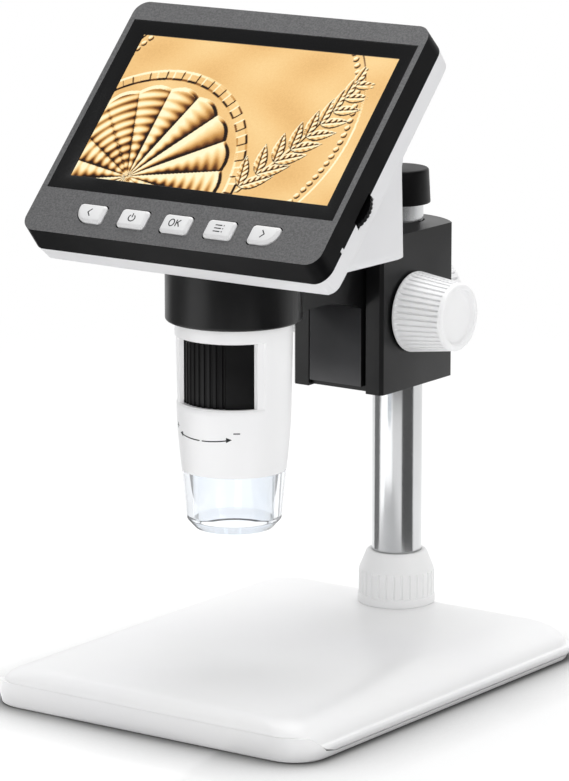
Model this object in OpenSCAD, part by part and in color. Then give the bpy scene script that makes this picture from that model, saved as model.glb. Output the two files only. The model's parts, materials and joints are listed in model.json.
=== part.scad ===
// Digital microscope with its own screen, on a column stand.
//
// Millimetres. +X is to the user's right, +Y points from the user to the column and +Z is up.
// The origin lies on the floor under the centre of the base. The model stands with its
// focusing slide at the lowest stop.

/* [Base] */
// Width of the base
base_w = 121; // [112:1:150]
// Depth of the base, front to back
base_d = 154; // [148:1:190]
// Height of the base over the floor
base_h = 12.6; // [12:0.2:18]
// Corner radius of the base in plan
base_corner = 11; // [8:0.5:16]
// Width of the soft slope along the sides and the back
base_slope = 16; // [8:1:18]
// How far the lower skirt stands out from the slope
skirt_out = 1.3; // [0.6:0.1:2]
// How far the tray's lower edge is drawn in
skirt_in = 2.4; // [1.2:0.1:3]
// Height of the crease between skirt and slope
crease_z = 4.5; // [4:0.1:5.5]
// Radius of the front top edge
front_round = 5; // [2:0.5:6]
// Height of the seam between shell and tray at the front
parting_front = 7.7; // [6.6:0.1:8.2]
// Wall of the two base mouldings
base_wall = 2.2; // [1.6:0.1:2.6]
// Radius of each rubber foot
foot_r = 6; // [4:0.5:8]
// How far the feet stand below the tray
foot_out = 0.8; // [0.5:0.1:1.2]
// Thickness of the steel ballast plate
ballast_t = 4; // [2:0.5:4]

/* [Column] */
// Radius of the steel column
column_r = 8; // [7:0.1:8.4]
// Wall of the column tube
column_wall = 1.2; // [0.8:0.1:2]
// How far the column stands over the carriage
column_over = 14.4; // [14.4:0.2:80]
// Distance of the column's axis from the back edge of the base
column_inset = 17.6; // [17:0.2:26]
// Height of the ribbed collar at the column's foot
collar_h = 17.2; // [14:0.2:24]
// Radius of the ribbed part of the collar
collar_r = 12.2; // [11:0.1:14]
// Number of ribs round the collar
collar_ribs = 30; // [20:1:36]
// Height of the cap on the column
cap_h = 11.1; // [9:0.1:16]

/* [Carriage] */
// Gap between the base and the carriage
carriage_gap = 75.4; // [60:0.2:78]
// Width of the carriage block
block_w = 34; // [32:0.5:40]
// Height of the carriage block
block_h = 49.6; // [44:0.2:52]
// From the column's axis to the front of the block
block_reach = 34; // [33:0.5:36]
// From the column's axis to the back of the block
block_back = 12.7; // [12.2:0.1:16]
// Width of the channel between the two cheeks
channel_w = 21.8; // [20.4:0.1:23]
// Wall of the split bush between column and block
bush_wall = 1.15; // [0.8:0.05:1.4]
// Height of the lock screw over the bottom of the block
lock_rise = 23.4; // [16:0.2:30]

/* [Focus drive] */
// Number of teeth on the pinion
pinion_teeth = 12; // [12:1:13]
// Tooth module
tooth_module = 0.8; // [0.7:0.05:0.8]
// Height of the pinion's axis over the bottom of the block
pinion_rise = 24.4; // [20:0.2:30]
// Radius of the focusing shaft
shaft_r = 2.5; // [2:0.1:3]
// Length of each focusing knob
knob_len = 17.3; // [12:0.1:22]
// Radius of the knobs at the end by the block
knob_big_r = 12.85; // [11:0.05:14]
// Radius of the focusing knobs at their outer end
knob_small_r = 10.6; // [9:0.1:11]
// Number of grooves round a knob
knob_grooves = 40; // [24:1:44]
// Length of the lock knob
lock_len = 6.8; // [6:0.1:6.9]

/* [Holder] */
// From the column's axis to the barrel's axis
reach = 88.9; // [82:0.1:110]
// Height of the ring's underside over the bottom of the block
ring_rise = 31.5; // [28:0.1:33]
// Height of the ring
ring_h = 20.5; // [16:0.1:22]
// Wall of the ring
ring_wall = 2.85; // [2:0.05:4]
// Width of the arm
arm_w = 19.6; // [16:0.1:20]
// Radius of the hollow under the arm
gusset_r = 70; // [50:1:90]

/* [Barrel] */
// Radius of the barrel in the ring
barrel_r = 18; // [17.5:0.1:20]
// How far the white barrel hangs below the ring
barrel_drop = 46.1; // [45:0.1:50]
// Radius of the barrel where the hood starts
barrel_tip_r = 16.05; // [15.9:0.05:16.6]
// Radius of the barrel under its window
barrel_waist_r = 17.5; // [17:0.1:17.8]
// Height of the window over the focusing wheel
window_h = 20.2; // [19:0.1:21]
// Half of the angle that the window spans
window_half = 48; // [30:1:55]
// Turn of the window's middle from the front to the right
window_turn = 12; // [-20:1:30]
// Radius of the focusing wheel
wheel_r = 15.6; // [15:0.05:15.6]
// Height of the clear hood
hood_h = 18.3; // [14:0.1:22]
// Radius of the hood just above its chamfer
hood_low_r = 14.6; // [13.5:0.1:15.5]
// Radius of the hood's mouth rim
hood_tip_r = 12; // [11.6:0.1:12.8]

/* [Display] */
// Tilt of the display from level
screen_tilt = 46.2; // [45:0.1:48]
// Height of the display's centre over the ring
screen_rise = 41; // [40.5:0.1:44]
// Width of the visible picture
active_w = 95; // [80:0.1:98]
// Height of the visible picture
active_h = 53.9; // [40:0.1:56]
// Width of the display housing
bezel_w = 109.6; // [107:0.1:120]
// From the picture's centre to the housing's top edge
bezel_up = 38.5; // [37:0.1:44]
// From the picture's centre to the housing's bottom edge
bezel_down = 48.7; // [48.3:0.1:49.5]
// Corner radius of the display housing
bezel_corner = 4.75; // [3:0.05:6]
// How far the bezel's face stands over the picture
face_n = 1.45; // [1:0.05:2]
// Depth of the dark front frame behind the picture
seam_n = 6.8; // [6.6:0.1:7]
// Depth of the white rear shell behind the picture
back_n = 15.5; // [15.1:0.1:15.8]
// Wall of the display mouldings
shell_wall = 2; // [1.6:0.1:2.2]
// Half width of the wedge behind the display
wedge_half = 50; // [46:0.5:51]
// Distance from one button to the next
button_pitch = 16; // [14:0.1:17]
// Width of a button
button_w = 10.2; // [8:0.1:11]
// Height of a button
button_h = 6.6; // [5:0.1:8]
// Radius of the light dimmer wheel
dimmer_r = 9; // [8.5:0.1:9.2]
// How far the dimmer wheel stands out of the housing
dimmer_out = 1.4; // [1:0.1:2.4]

/* [Fits] */
// Radial clearance of a running fit
running_fit = 0.05; // [0.02:0.01:0.1]
// Clearance between flat sliding faces
slide_fit = 0.1; // [0.05:0.05:0.2]
// Radial clearance of a pressed or threaded fit
press_fit = 0.02; // [0.01:0.01:0.05]
// Gap round a moulding that drops into another
drop_fit = 0.1; // [0.05:0.05:0.2]

/* [Hidden] */
$fn = 64;
hull_fn = 32;
sliver = 0.01;
over = 1;

// Places of the axes, and the height of the carriage at its stop
column_y = base_d / 2 - column_inset;
barrel_y = column_y - reach;
block_z = base_h + carriage_gap;
block_top = block_z + block_h;

// Base: tray floor, screws, feet and ballast
floor_t = 2;
floor_z = foot_out + floor_t;
front_taper = 2;
parting_side = foot_out + 0.8;
parting_gap = 0.25;
corner_sharpen = 0.3;
screw_x = base_w / 2 - 12.5;
screw_y = base_d / 2 - 31;
foot_x = base_w / 2 - 14.5;
foot_y = base_d / 2 - 14;
foot_sink = 0.8;
screw_r = 1.5;
screw_head_r = 2.9;
screw_head_h = 1.7;
screw_len = 5.4;
screw_spare = 0.6;
screw_free = 0.25;
boss_r = 4.4;
boss_foot_h = 1.8;
boss_foot_z = floor_z + boss_foot_h;
socket_r = column_r + 4;
socket_floor_z = floor_z + 2;
ballast_x = screw_x - boss_r - 1;
ballast_front = -(base_d / 2 - 21);
ballast_back = column_y - socket_r - 2.4;
hold_down_r = 4;
hold_down_inset = 14;
plate_rise = 0.2;

// Column, its plug and its bolt
column_top = block_top + column_over;
column_bore_r = column_r - column_wall;
plug_h = 12;
bolt_r = 2.5;
bolt_head_r = 4.4;
bolt_head_h = 1.7;
bolt_pocket_r = bolt_head_r + 1.6;
bolt_len = 11;
collar_foot_h = 2.5;
collar_foot_r = collar_r + 0.3;
collar_rib_h = 8.2;
collar_top_r = column_r + 1.75;
collar_edge = 0.6;
cap_cover = 8.8;
cap_bottom_r = column_r + 2.25;
cap_top_r = cap_bottom_r - 0.6;

// Carriage block
block_front_y = column_y - block_reach;
block_back_y = column_y + block_back;
flat_back = 5.1;
back_arc_r = (pow(block_w / 2, 2) + pow(block_back - flat_back, 2)) / (2 * (block_back - flat_back));
block_chamfer = 1;
bush_out_r = column_r + running_fit + bush_wall;
bush_bore_r = bush_out_r + running_fit;
lip_t = 1.6;
lip_r = column_r + 0.4;
bush_ring_r = 11;
bush_ring_h = 2.2;
stop_z = block_z + 2.2;
stop_t = 1.8;
stop_set_back = 1.6;

// Rack and pinion
pinion_y = column_y - 17;
pinion_z = block_z + pinion_rise;
pitch_r = tooth_module * pinion_teeth / 2;
pressure_angle = 20;
tooth_base_r = pitch_r * cos(pressure_angle);
tip_r = pitch_r + 0.9 * tooth_module;
root_r = pitch_r - 1.2 * tooth_module;
backlash = 0.08;
tooth_pitch = PI * tooth_module;
rack_addendum = 0.8 * tooth_module;
rack_dedendum = 1.15 * tooth_module;
pinion_w = 7;
rack_w = 6;
rack_seat = 1;
rack_low_gap = 0.6;
rack_high_gap = 0.8;
rack_room = 0.46;
rack_line = pinion_y - pitch_r;
pocket_r = tip_r + 0.6;
pocket_half = pinion_w / 2 + 0.5;

// Slide of the holder
slide_back = rack_line - 2.6;
flange_t = 4;
flange_w = arm_w + 5.4;
slide_front = block_front_y - 1;
slide_z = stop_z + slide_fit;
slide_top = block_top + 0.4;
ring_z = block_z + ring_rise;
ring_top = ring_z + ring_h;
ring_bore_r = barrel_r + running_fit;
ring_r = ring_bore_r + ring_wall;
ring_edge = 1;
arm_blend = 3;
gusset_start = slide_front - 23.9;
gusset_drop = 8;

// Lock screw at the back of the block
lock_z = block_z + lock_rise;
stud_r = 3;
lock_boss_r = 7;
lock_small_r = knob_big_r - 0.85;
lock_boss_y = block_back_y + 3.3;
lock_knob_y = block_back_y + 0.5;
shoe_w = 7.8;
shoe_y = column_y + bush_bore_r + 0.05;
shoe_t = 3.5;
shoe_travel = 1;
stud_tip_y = shoe_y + 1.9;

// Knobs
knob_gap = 0.5;
knob_wall = 2;
knob_hub_r = 5;
knob_face = 2.6;
dish_depth = 1.5;
dish_rim = 1.6;
dish_slope = 0.5;
knob_skin = 1;
rim_round = 0.8;
groove_r = 0.5;
groove_rise = 0.15;
groove_start = 1.3;
groove_stop = 1.9;
shaft_half = block_w / 2 + knob_gap + knob_len - dish_depth - knob_skin;

// Barrel and what it holds
tip_z = ring_z - barrel_drop;
window_drop = 24.8;
window_z = ring_z - window_drop;
shoulder_z = ring_z - 4.5;
barrel_top = ring_top + 9.5;
front_angle = -90;
bevel_extra = 9;
bevel_depth = 0.6;
socket_in_r = 14.45;
spigot_h = 6.1;
hood_wall = 1.4;
led_board_t = 1.6;
led_seat_z = tip_z + spigot_h + drop_fit + led_board_t;
web_z = led_seat_z + 2.2;
web_h = 6;
web_hole_r = 7.4;
guide_r = 1.2;
guide_ring = 10.6;
throat_r = 13.6;
wheel_bay_r = wheel_r + 0.3;
wheel_z = window_z - 0.1;
wheel_h = window_h + 0.2;
carrier_r = 13.2;
carrier_h = 12;
carrier_z = wheel_z + wheel_h / 2 - carrier_h / 2 - 0.7;
carrier_floor = 3;
snout_r = 6.6;
snout_z = web_z - 5.4;
snout_seat = 4;
carrier_travel = 3;
grip_step = 7.5;
grip_r = 0.6;
grip_rise = 0.15;
grip_middle = front_angle - 5;
lens_seat = 1.2;
front_lens_r = 5;
rear_lens_r = 8;
retainer_h = 3.2;
retainer_z = wheel_z + wheel_h + 0.1;
board_t = 1.6;

// Display, in the screen's own frame: x right, y up the picture, z out of the glass
screen_z = ring_top + screen_rise;
housing_h = bezel_up + bezel_down;
housing_mid = (bezel_up - bezel_down) / 2;
plate_t = 2.2;
opening_half = bezel_w / 2 - shell_wall;
opening_top = 31.5;
opening_low = -32.75;
glass_t = 3.2;
mask_lip = 0.25;
main_board_n = glass_t + 0.6;
button_v = -(bezel_down - 8);
button_shift = 0.4;
button_top_n = face_n + 1.15;
button_gap = 0.3;
button_travel = 0.6;
button_flange = 1;
button_corner = 1.4;
big_corner = 5;
flange_n = face_n - plate_t - drop_fit;
button_flange_t = 1.05;
switch_n = flange_n - button_flange_t - button_travel - 0.05;
button_board_n = switch_n - 0.8;
button_board_t = 1.2;
button_board_h = 11.5;
switch_w = 6;
case_screw_u = bezel_w / 2 - 8.8;
case_boss_r = 2.3;
button_board_w = 2 * (case_screw_u - case_boss_r - 0.7);
battery_w = 50;
battery_low = 4;
case_screw_top = bezel_up - 4.6;
case_screw_low = -(bezel_down - 3.9);
case_screw_r = 1;
case_screw_head = 1.9;
case_screw_sink = 1.8;
rear_floor_n = -(back_n - shell_wall);
solid_below = -42;
dimmer_u = bezel_w / 2 + dimmer_out - dimmer_r;
dimmer_v = -22.6;
dimmer_n = -9;
dimmer_t = 3;
dimmer_gap = 0.3;
dimmer_pin_r = 1.5;
dimmer_notches = 36;
pot_w = 10;
pot_side = bezel_w / 2 - shell_wall - 0.3 - dimmer_u;
usb_v = 12;
usb_w = 9;
usb_t = 2.9;
card_v = -14;
card_w = 14;
card_t = 1.6;
latch_v = -37.6;
latch_w = 1.4;
latch_h = 1;

// Wedge behind the display and socket round the top of the barrel
seat_gap = 0.2;
wedge_z = ring_top + seat_gap;
wedge_back_y = barrel_y + 13.3;
wedge_round = 4;
rear_round = 3;
socket_boss_r = ring_r - 0.4;
socket_boss_h = 13;
cable_hole_r = 10;
ring_relief_r = ring_r + 0.5;

// ---- Shared shapes ----

// Rectangle with round corners, centred
module rounded(w, h, r) {
    square([w - 2 * r, h], center = true);
    square([w, h - 2 * r], center = true);
    for (x = [-1, 1], y = [-1, 1])
        translate([x * (w / 2 - r), y * (h / 2 - r)]) circle(r);
}

// Takes the sharp corner at the origin off a profile in the first quadrant
module corner_cut(r) {
    difference() {
        translate([-over, -over]) square(r + over);
        translate([r, r]) circle(r);
    }
}

// Outline in Y and Z, given its width along X
module along_x(w) { rotate([90, 0, 90]) linear_extrude(w, center = true) children(); }

// Cylinder along Y that starts at the local origin
module rod_y(r, h) { rotate([-90, 0, 0]) cylinder(r = r, h = h); }

module at_barrel(z = 0) { translate([0, barrel_y, z]) children(); }
module at_column(z = 0) { translate([0, column_y, z]) children(); }

// The screen's own frame, moved out of the glass by n
module at_screen(n = 0) {
    translate([0, barrel_y, screen_z]) rotate([screen_tilt, 0, 0])
        translate([0, 0, n]) children();
}

// One child at each of four corners
module at_corners(x, y) {
    for (i = [-1, 1], j = [-1, 1])
        translate([i * x, j * y, 0]) children();
}

module at_base_screws() { at_corners(screw_x, screw_y) children(); }
module at_feet() { at_corners(foot_x, foot_y) children(); }

module at_case_screws() {
    for (x = [-1, 1], v = [case_screw_top, case_screw_low])
        translate([x * case_screw_u, v, 0]) children();
}

// ---- Base ----

// How far the front wall stands in at a height
function front_in(z) =
    let (edge = base_h - front_round)
    z <= edge
        ? front_taper * (edge - z) / (edge - foot_out)
        : front_round * (1 - sqrt(max(0, 1 - pow((z - edge) / front_round, 2))));

// Four thin discs that mark the corners of the base at one height
module base_layer(z, side, front) {
    r = base_corner - corner_sharpen * side;
    for (x = [-1, 1])
        for (y = [-base_d / 2 + front + r, base_d / 2 - side - r])
            translate([x * (base_w / 2 - side - r), y, z]) cylinder(r = r, h = sliver, $fn = hull_fn);
}

// Soft slope from the crease to the flat top, moved in by a wall on every side
module base_dome(wall = 0, low = crease_z, steps = 8) {
    rise = base_h - wall - crease_z;
    hull() {
        base_layer(low, skirt_out + wall, front_in(low) + wall);
        for (i = [0:steps]) {
            a = 90 * i / steps;
            z = crease_z + rise * sin(a) - (i == steps ? sliver : 0);
            base_layer(z, skirt_out + wall + base_slope * (1 - cos(a)), front_in(z + wall * sin(a)) + wall);
        }
    }
}

module base_skirt() {
    hull() {
        base_layer(foot_out, skirt_in, front_in(foot_out));
        base_layer(foot_out + 0.25 * (crease_z - foot_out), skirt_in / 2, front_in(foot_out));
        base_layer(crease_z - 0.9, 0, front_in(crease_z));
        base_layer(crease_z - sliver, 0.5, front_in(crease_z));
    }
}

module base_outer() {
    base_skirt();
    base_dome();
}

// Everything below the line where shell and tray meet: high at the front, low at the sides
module below_parting(shift) {
    bend_front = -base_d / 2 + 3;
    bend_back = bend_front + 11;
    steps = 10;
    curve = [for (i = [0:steps])
        [bend_front + (bend_back - bend_front) * i / steps,
         shift + parting_side + (parting_front - parting_side) * (1 + cos(180 * i / steps)) / 2]];
    along_x(base_w + 2 * over)
        polygon(concat([[-base_d, -over], [-base_d, parting_front + shift]], curve,
                       [[base_d, parting_side + shift], [base_d, -over]]));
}

module base_shell() {
    color("whitesmoke") difference() {
        union() {
            difference() {
                base_outer();
                base_dome(base_wall, -over, 5);
                below_parting(0);
            }
            at_base_screws() translate([0, 0, boss_foot_z])
                cylinder(r = boss_r, h = base_h - base_wall / 2 - boss_foot_z - 1);
            at_column(floor_z) cylinder(r = socket_r, h = base_h - base_wall / 2 - floor_z);
            for (x = [-1, 1], y = [ballast_front + hold_down_inset, ballast_back - hold_down_inset])
                translate([x * ballast_x / 2, y, floor_z + ballast_t])
                    cylinder(r = hold_down_r, h = base_h - base_wall / 2 - floor_z - ballast_t);
        }
        at_column(socket_floor_z) cylinder(r = column_r + running_fit, h = base_h);
        at_column() cylinder(r = bolt_r + screw_free, h = base_h);
        at_base_screws() translate([0, 0, boss_foot_z - over])
            cylinder(r = screw_r + press_fit, h = screw_len - boss_foot_h + screw_spare + over);
    }
}

// Plan of the tray's inside, drawn in by a gap
module tray_plan(gap) {
    side = skirt_out + base_wall + gap;
    front = front_taper + base_wall + gap;
    translate([0, (front - side) / 2])
        rounded(base_w - 2 * side, base_d - side - front, base_corner - side + skirt_out);
}

module base_tray() {
    color("whitesmoke") difference() {
        union() {
            difference() {
                intersection() { base_outer(); below_parting(-parting_gap); }
                translate([0, 0, floor_z]) linear_extrude(base_h) tray_plan(0);
            }
            translate([0, 0, foot_out + plate_rise]) linear_extrude(floor_t - plate_rise) tray_plan(0.5);
            at_base_screws() translate([0, 0, foot_out + plate_rise])
                cylinder(r = boss_r, h = boss_foot_z - foot_out - plate_rise);
        }
        at_base_screws() translate([0, 0, -over]) cylinder(r = screw_r + screw_free, h = base_h);
        at_base_screws() translate([0, 0, -over]) cylinder(r = screw_head_r + 0.3, h = floor_z + over);
        at_feet() translate([0, 0, -over]) cylinder(r = foot_r + drop_fit, h = foot_out + foot_sink + over);
        at_column(-over) cylinder(r = bolt_pocket_r, h = base_h);
    }
}

module ballast_plate() {
    color("dimgray") translate([-ballast_x, ballast_front, floor_z])
        cube([2 * ballast_x, ballast_back - ballast_front, ballast_t]);
}

module base_feet() {
    color("black") at_feet() rotate_extrude() difference() {
        square([foot_r, foot_out + foot_sink]);
        translate([foot_r, 0]) mirror([1, 0]) corner_cut(0.5);
    }
}

module base_screws() {
    color("silver") at_base_screws() {
        translate([0, 0, floor_z - screw_head_h]) cylinder(r = screw_head_r, h = screw_head_h);
        translate([0, 0, floor_z - sliver]) cylinder(r = screw_r, h = screw_len);
    }
}

// ---- Column ----

module column() {
    color("silver") at_column(socket_floor_z) difference() {
        cylinder(r = column_r, h = column_top - socket_floor_z);
        translate([0, 0, -over]) cylinder(r = column_bore_r, h = column_top);
    }
}

module column_plug() {
    color("dimgray") at_column(socket_floor_z) difference() {
        cylinder(r = column_bore_r - press_fit, h = plug_h);
        translate([0, 0, -over]) cylinder(r = bolt_r + press_fit, h = plug_h + 2 * over);
    }
}

module column_bolt() {
    color("silver") at_column() {
        translate([0, 0, floor_z - bolt_head_h]) cylinder(r = bolt_head_r, h = bolt_head_h);
        translate([0, 0, floor_z - sliver]) cylinder(r = bolt_r, h = bolt_len);
    }
}

module column_collar() {
    rib_top = collar_foot_h + collar_rib_h;
    color("white") at_column(base_h) difference() {
        union() {
            cylinder(r = collar_foot_r, h = collar_foot_h);
            linear_extrude(rib_top) difference() {
                circle(collar_r);
                for (i = [0:collar_ribs - 1])
                    rotate(360 * i / collar_ribs)
                        translate([collar_r + groove_rise, 0]) circle(groove_r, $fn = 16);
            }
            translate([0, 0, rib_top - sliver])
                cylinder(r1 = collar_r, r2 = collar_top_r, h = collar_h - rib_top - collar_edge);
            translate([0, 0, collar_h - collar_edge - sliver])
                cylinder(r1 = collar_top_r, r2 = collar_top_r - collar_edge, h = collar_edge);
        }
        translate([0, 0, -over]) cylinder(r = column_r + running_fit, h = collar_h + 2 * over);
    }
}

module column_cap() {
    edge = 1;
    color("black") at_column(column_top - cap_cover) rotate_extrude() difference() {
        polygon([[0, 0], [cap_bottom_r, 0], [cap_top_r, cap_h], [0, cap_h]]);
        translate([cap_top_r, cap_h]) mirror([1, 1]) corner_cut(edge);
        translate([-over, -over]) square([column_r + running_fit + over, cap_cover + over]);
    }
}

// ---- Carriage ----

module block_plan() {
    half = block_w / 2;
    arc_y = block_back_y - back_arc_r;
    difference() {
        union() {
            translate([-half, block_front_y]) square([block_w, arc_y - block_front_y + sliver]);
            intersection() {
                translate([-half, arc_y]) square([block_w, back_arc_r + over]);
                translate([0, arc_y]) circle(back_arc_r, $fn = 128);
            }
        }
        for (x = [-1, 1])
            translate([x * half, block_front_y]) rotate(45) square(sqrt(2) * block_chamfer, center = true);
    }
}

// Plan of the channel that the slide and its flange run in
module channel_plan() {
    flange_front = slide_back - flange_t - slide_fit;
    translate([-channel_w / 2, block_front_y - over])
        square([channel_w, flange_front - block_front_y + over + sliver]);
    translate([-flange_w / 2 - slide_fit, flange_front])
        square([flange_w + 2 * slide_fit, flange_t + 2 * slide_fit]);
    translate([-pocket_half, slide_back])
        square([2 * pocket_half, rack_line + rack_addendum + rack_room - slide_back]);
}

module carriage_block() {
    color("black") difference() {
        union() {
            translate([0, 0, block_z]) linear_extrude(block_h) block_plan();
            translate([0, block_back_y - 1.5, lock_z]) rod_y(lock_boss_r, lock_boss_y - block_back_y + 1.5);
        }
        translate([0, 0, block_z - over]) linear_extrude(block_h + 2 * over) channel_plan();
        translate([0, pinion_y, pinion_z]) rotate([0, 90, 0]) {
            cylinder(r = pocket_r, h = 2 * pocket_half, center = true);
            cylinder(r = shaft_r + running_fit, h = block_w + 2 * over, center = true);
        }
        at_column(block_z - over) cylinder(r = bush_bore_r, h = block_h - lip_t + over);
        at_column(block_z - over) cylinder(r = lip_r, h = block_h + 2 * over);
        at_column(block_z - over) cylinder(r = bush_ring_r, h = bush_ring_h + over);
        translate([-shoe_w / 2 - slide_fit, column_y, lock_z - shoe_w / 2 - slide_fit])
            cube([shoe_w + 2 * slide_fit, shoe_y + shoe_t + shoe_travel + slide_fit - column_y,
                  shoe_w + 2 * slide_fit]);
        translate([0, column_y, lock_z]) rod_y(stud_r + running_fit, lock_boss_y - column_y + over);
    }
}

module clamp_bush() {
    slit = 1.5;
    color("goldenrod") at_column(block_z + bush_ring_h + slide_fit) difference() {
        cylinder(r = bush_out_r, h = block_h - lip_t - bush_ring_h - 2 * slide_fit);
        translate([0, 0, -over]) cylinder(r = column_r + running_fit, h = block_h + 2 * over);
        translate([-slit / 2, -2 * column_r, -over]) cube([slit, 2 * column_r, block_h + 2 * over]);
    }
}

module bush_ring() {
    color("dimgray") at_column(block_z) difference() {
        cylinder(r = bush_ring_r - press_fit, h = bush_ring_h);
        translate([0, 0, -over]) cylinder(r = lip_r, h = bush_ring_h + 2 * over);
    }
}

module channel_stop() {
    front = block_front_y + stop_set_back;
    color("dimgray") translate([-channel_w / 2, front, stop_z - stop_t])
        cube([channel_w, slide_back - flange_t - front, stop_t]);
}

// ---- Knobs ----

// Tapered knob: big end at z = 0, hollow behind, dished at its outer end
module knob(len, big, small, bore_r, hub_from) {
    slope = (big - small) / len;
    cave = len - knob_face;
    tilt = atan(slope);
    difference() {
        rotate_extrude() polygon([
            [0, hub_from], [knob_hub_r, hub_from], [knob_hub_r, cave],
            [big - knob_wall - slope * cave, cave], [big - knob_wall, 0],
            [big - rim_round, 0], [big - 0.2 * rim_round, 0.3 * rim_round],
            [big - slope * rim_round, rim_round],
            [small + slope * rim_round, len - rim_round], [small - 0.3 * rim_round, len - 0.2 * rim_round],
            [small - rim_round, len], [small - dish_rim, len],
            [small - dish_rim - dish_slope, len - dish_depth], [0, len - dish_depth]]);
        translate([0, 0, -over]) cylinder(r = bore_r, h = len - dish_depth - knob_skin + over);
        for (i = [0:knob_grooves - 1])
            rotate(360 * i / knob_grooves)
                translate([big - slope * groove_start + groove_rise, 0, groove_start])
                    rotate([0, -tilt, 0])
                        cylinder(r = groove_r, h = len - groove_start - groove_stop, $fn = 16);
    }
}

module focus_knob() {
    translate([block_w / 2 + knob_gap, pinion_y, pinion_z]) rotate([0, 90, 0])
        knob(knob_len, knob_big_r, knob_small_r, shaft_r + press_fit, 0.5);
}

module focus_knob_right() { color("white") focus_knob(); }
module focus_knob_left() { color("white") mirror([1, 0, 0]) focus_knob(); }

module lock_knob() {
    color("white") translate([0, lock_knob_y, lock_z]) rotate([-90, 0, 0])
        knob(lock_len, knob_big_r, lock_small_r, stud_r + press_fit, lock_boss_y - lock_knob_y + slide_fit);
}

module lock_stud() {
    color("silver") translate([0, stud_tip_y, lock_z])
        rod_y(stud_r, lock_knob_y + lock_len - dish_depth - knob_skin - stud_tip_y);
}

module lock_shoe() {
    color("goldenrod") difference() {
        translate([-shoe_w / 2, shoe_y, lock_z - shoe_w / 2]) cube([shoe_w, shoe_t, shoe_w]);
        translate([0, stud_tip_y - shoe_travel - slide_fit, lock_z]) rod_y(stud_r + running_fit, shoe_t);
    }
}

// ---- Focus drive ----

// Involute of the tooth's base circle, in degrees
function involute(r) =
    r <= tooth_base_r ? 0 : sqrt(pow(r / tooth_base_r, 2) - 1) * 180 / PI - acos(tooth_base_r / r);

// Half of the angle that a pinion tooth spans at a radius
function half_tooth(r) = 90 / pinion_teeth - backlash / pitch_r * 90 / PI + involute(pitch_r) - involute(r);

function polar(r, a) = [r * cos(a), r * sin(a)];

module pinion_outline() {
    steps = 4;
    radii = concat([root_r], [for (i = [0:steps]) tooth_base_r + (tip_r - tooth_base_r) * i / steps]);
    last = len(radii) - 1;
    polygon([for (t = [0:pinion_teeth - 1]) let (middle = 360 * t / pinion_teeth)
        each concat([for (i = [0:last]) polar(radii[i], middle - half_tooth(radii[i]))],
                    [for (i = [last:-1:0]) polar(radii[i], middle + half_tooth(radii[i]))])]);
}

// One rack tooth that points along +Y, as an outline in Y and Z about its own middle
module rack_tooth() {
    half = tooth_pitch / 4 - backlash / 2;
    lean = tan(pressure_angle);
    root = half + lean * rack_dedendum;
    tip = half - lean * rack_addendum;
    polygon([[-rack_dedendum - sliver, -root], [rack_addendum, -tip],
             [rack_addendum, tip], [-rack_dedendum - sliver, root]]);
}

module focus_shaft() {
    color("silver") translate([0, pinion_y, pinion_z]) rotate([0, 90, 0])
        cylinder(r = shaft_r, h = 2 * shaft_half, center = true);
}

module focus_pinion() {
    color("goldenrod") translate([0, pinion_y, pinion_z]) along_x(pinion_w) difference() {
        rotate(180) pinion_outline();
        circle(shaft_r + press_fit);
    }
}

module focus_rack() {
    root_y = rack_line - rack_dedendum;
    low = slide_z + rack_low_gap;
    high = slide_top - rack_high_gap;
    below = floor((pinion_z - low - tooth_pitch) / tooth_pitch);
    above = floor((high - pinion_z - tooth_pitch) / tooth_pitch);
    color("goldenrod") along_x(rack_w) {
        translate([slide_back - rack_seat, low]) square([root_y - slide_back + rack_seat, high - low]);
        for (k = [-below - 1:above])
            translate([rack_line, pinion_z + (k + 0.5) * tooth_pitch]) rack_tooth();
    }
}

// ---- Holder: ring, arm and slide ----

module ring_blank() {
    at_barrel(ring_z) rotate_extrude($fn = 96) difference() {
        square([ring_r, ring_h]);
        translate([ring_r, 0]) mirror([1, 0]) corner_cut(ring_edge);
        translate([ring_r, ring_h]) mirror([1, 1]) corner_cut(ring_edge / 2);
    }
}

// Side view of the arm, with the hollow that runs down to the slide
module arm_side() {
    difference() {
        translate([barrel_y, ring_z - gusset_drop])
            square([slide_front - barrel_y + sliver, slide_top - ring_z + gusset_drop]);
        translate([barrel_y - over, ring_z - gusset_drop - over])
            square([gusset_start - barrel_y + over, gusset_drop + over]);
        translate([gusset_start, ring_z - gusset_r]) circle(gusset_r, $fn = 256);
    }
}

// Plan of the concave blend where the arm leaves the ring
module arm_blend_plan() {
    cx = arm_w / 2 + arm_blend;
    cy = sqrt(pow(ring_r + arm_blend, 2) - pow(cx, 2));
    touch = ring_r / (ring_r + arm_blend);
    for (x = [-1, 1]) scale([x, 1]) difference() {
        polygon([[0, 0], [cx * touch, cy * touch], [cx, cy], [0, cy]]);
        translate([cx, cy]) circle(arm_blend);
    }
}

module holder_arm() {
    color("black") difference() {
        union() {
            ring_blank();
            along_x(arm_w) arm_side();
            at_barrel(ring_z) linear_extrude(slide_top - ring_z) arm_blend_plan();
            translate([-arm_w / 2, slide_front, slide_z])
                cube([arm_w, slide_back - slide_front, slide_top - slide_z]);
            translate([-flange_w / 2, slide_back - flange_t, slide_z])
                cube([flange_w, flange_t, slide_top - slide_z]);
        }
        at_barrel(ring_z - gusset_drop - over)
            cylinder(r = ring_bore_r, h = ring_h + gusset_drop + 2 * over, $fn = 96);
        translate([-rack_w / 2 - press_fit, slide_back - rack_seat, slide_z - over])
            cube([rack_w + 2 * press_fit, rack_seat + over, slide_top - slide_z + 2 * over]);
    }
}

// ---- Barrel ----

// Outer radius of the barrel below its window
function barrel_skin(z) =
    barrel_tip_r + (barrel_waist_r - barrel_tip_r) * sin(90 * (z - tip_z) / (window_z - tip_z));

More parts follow.
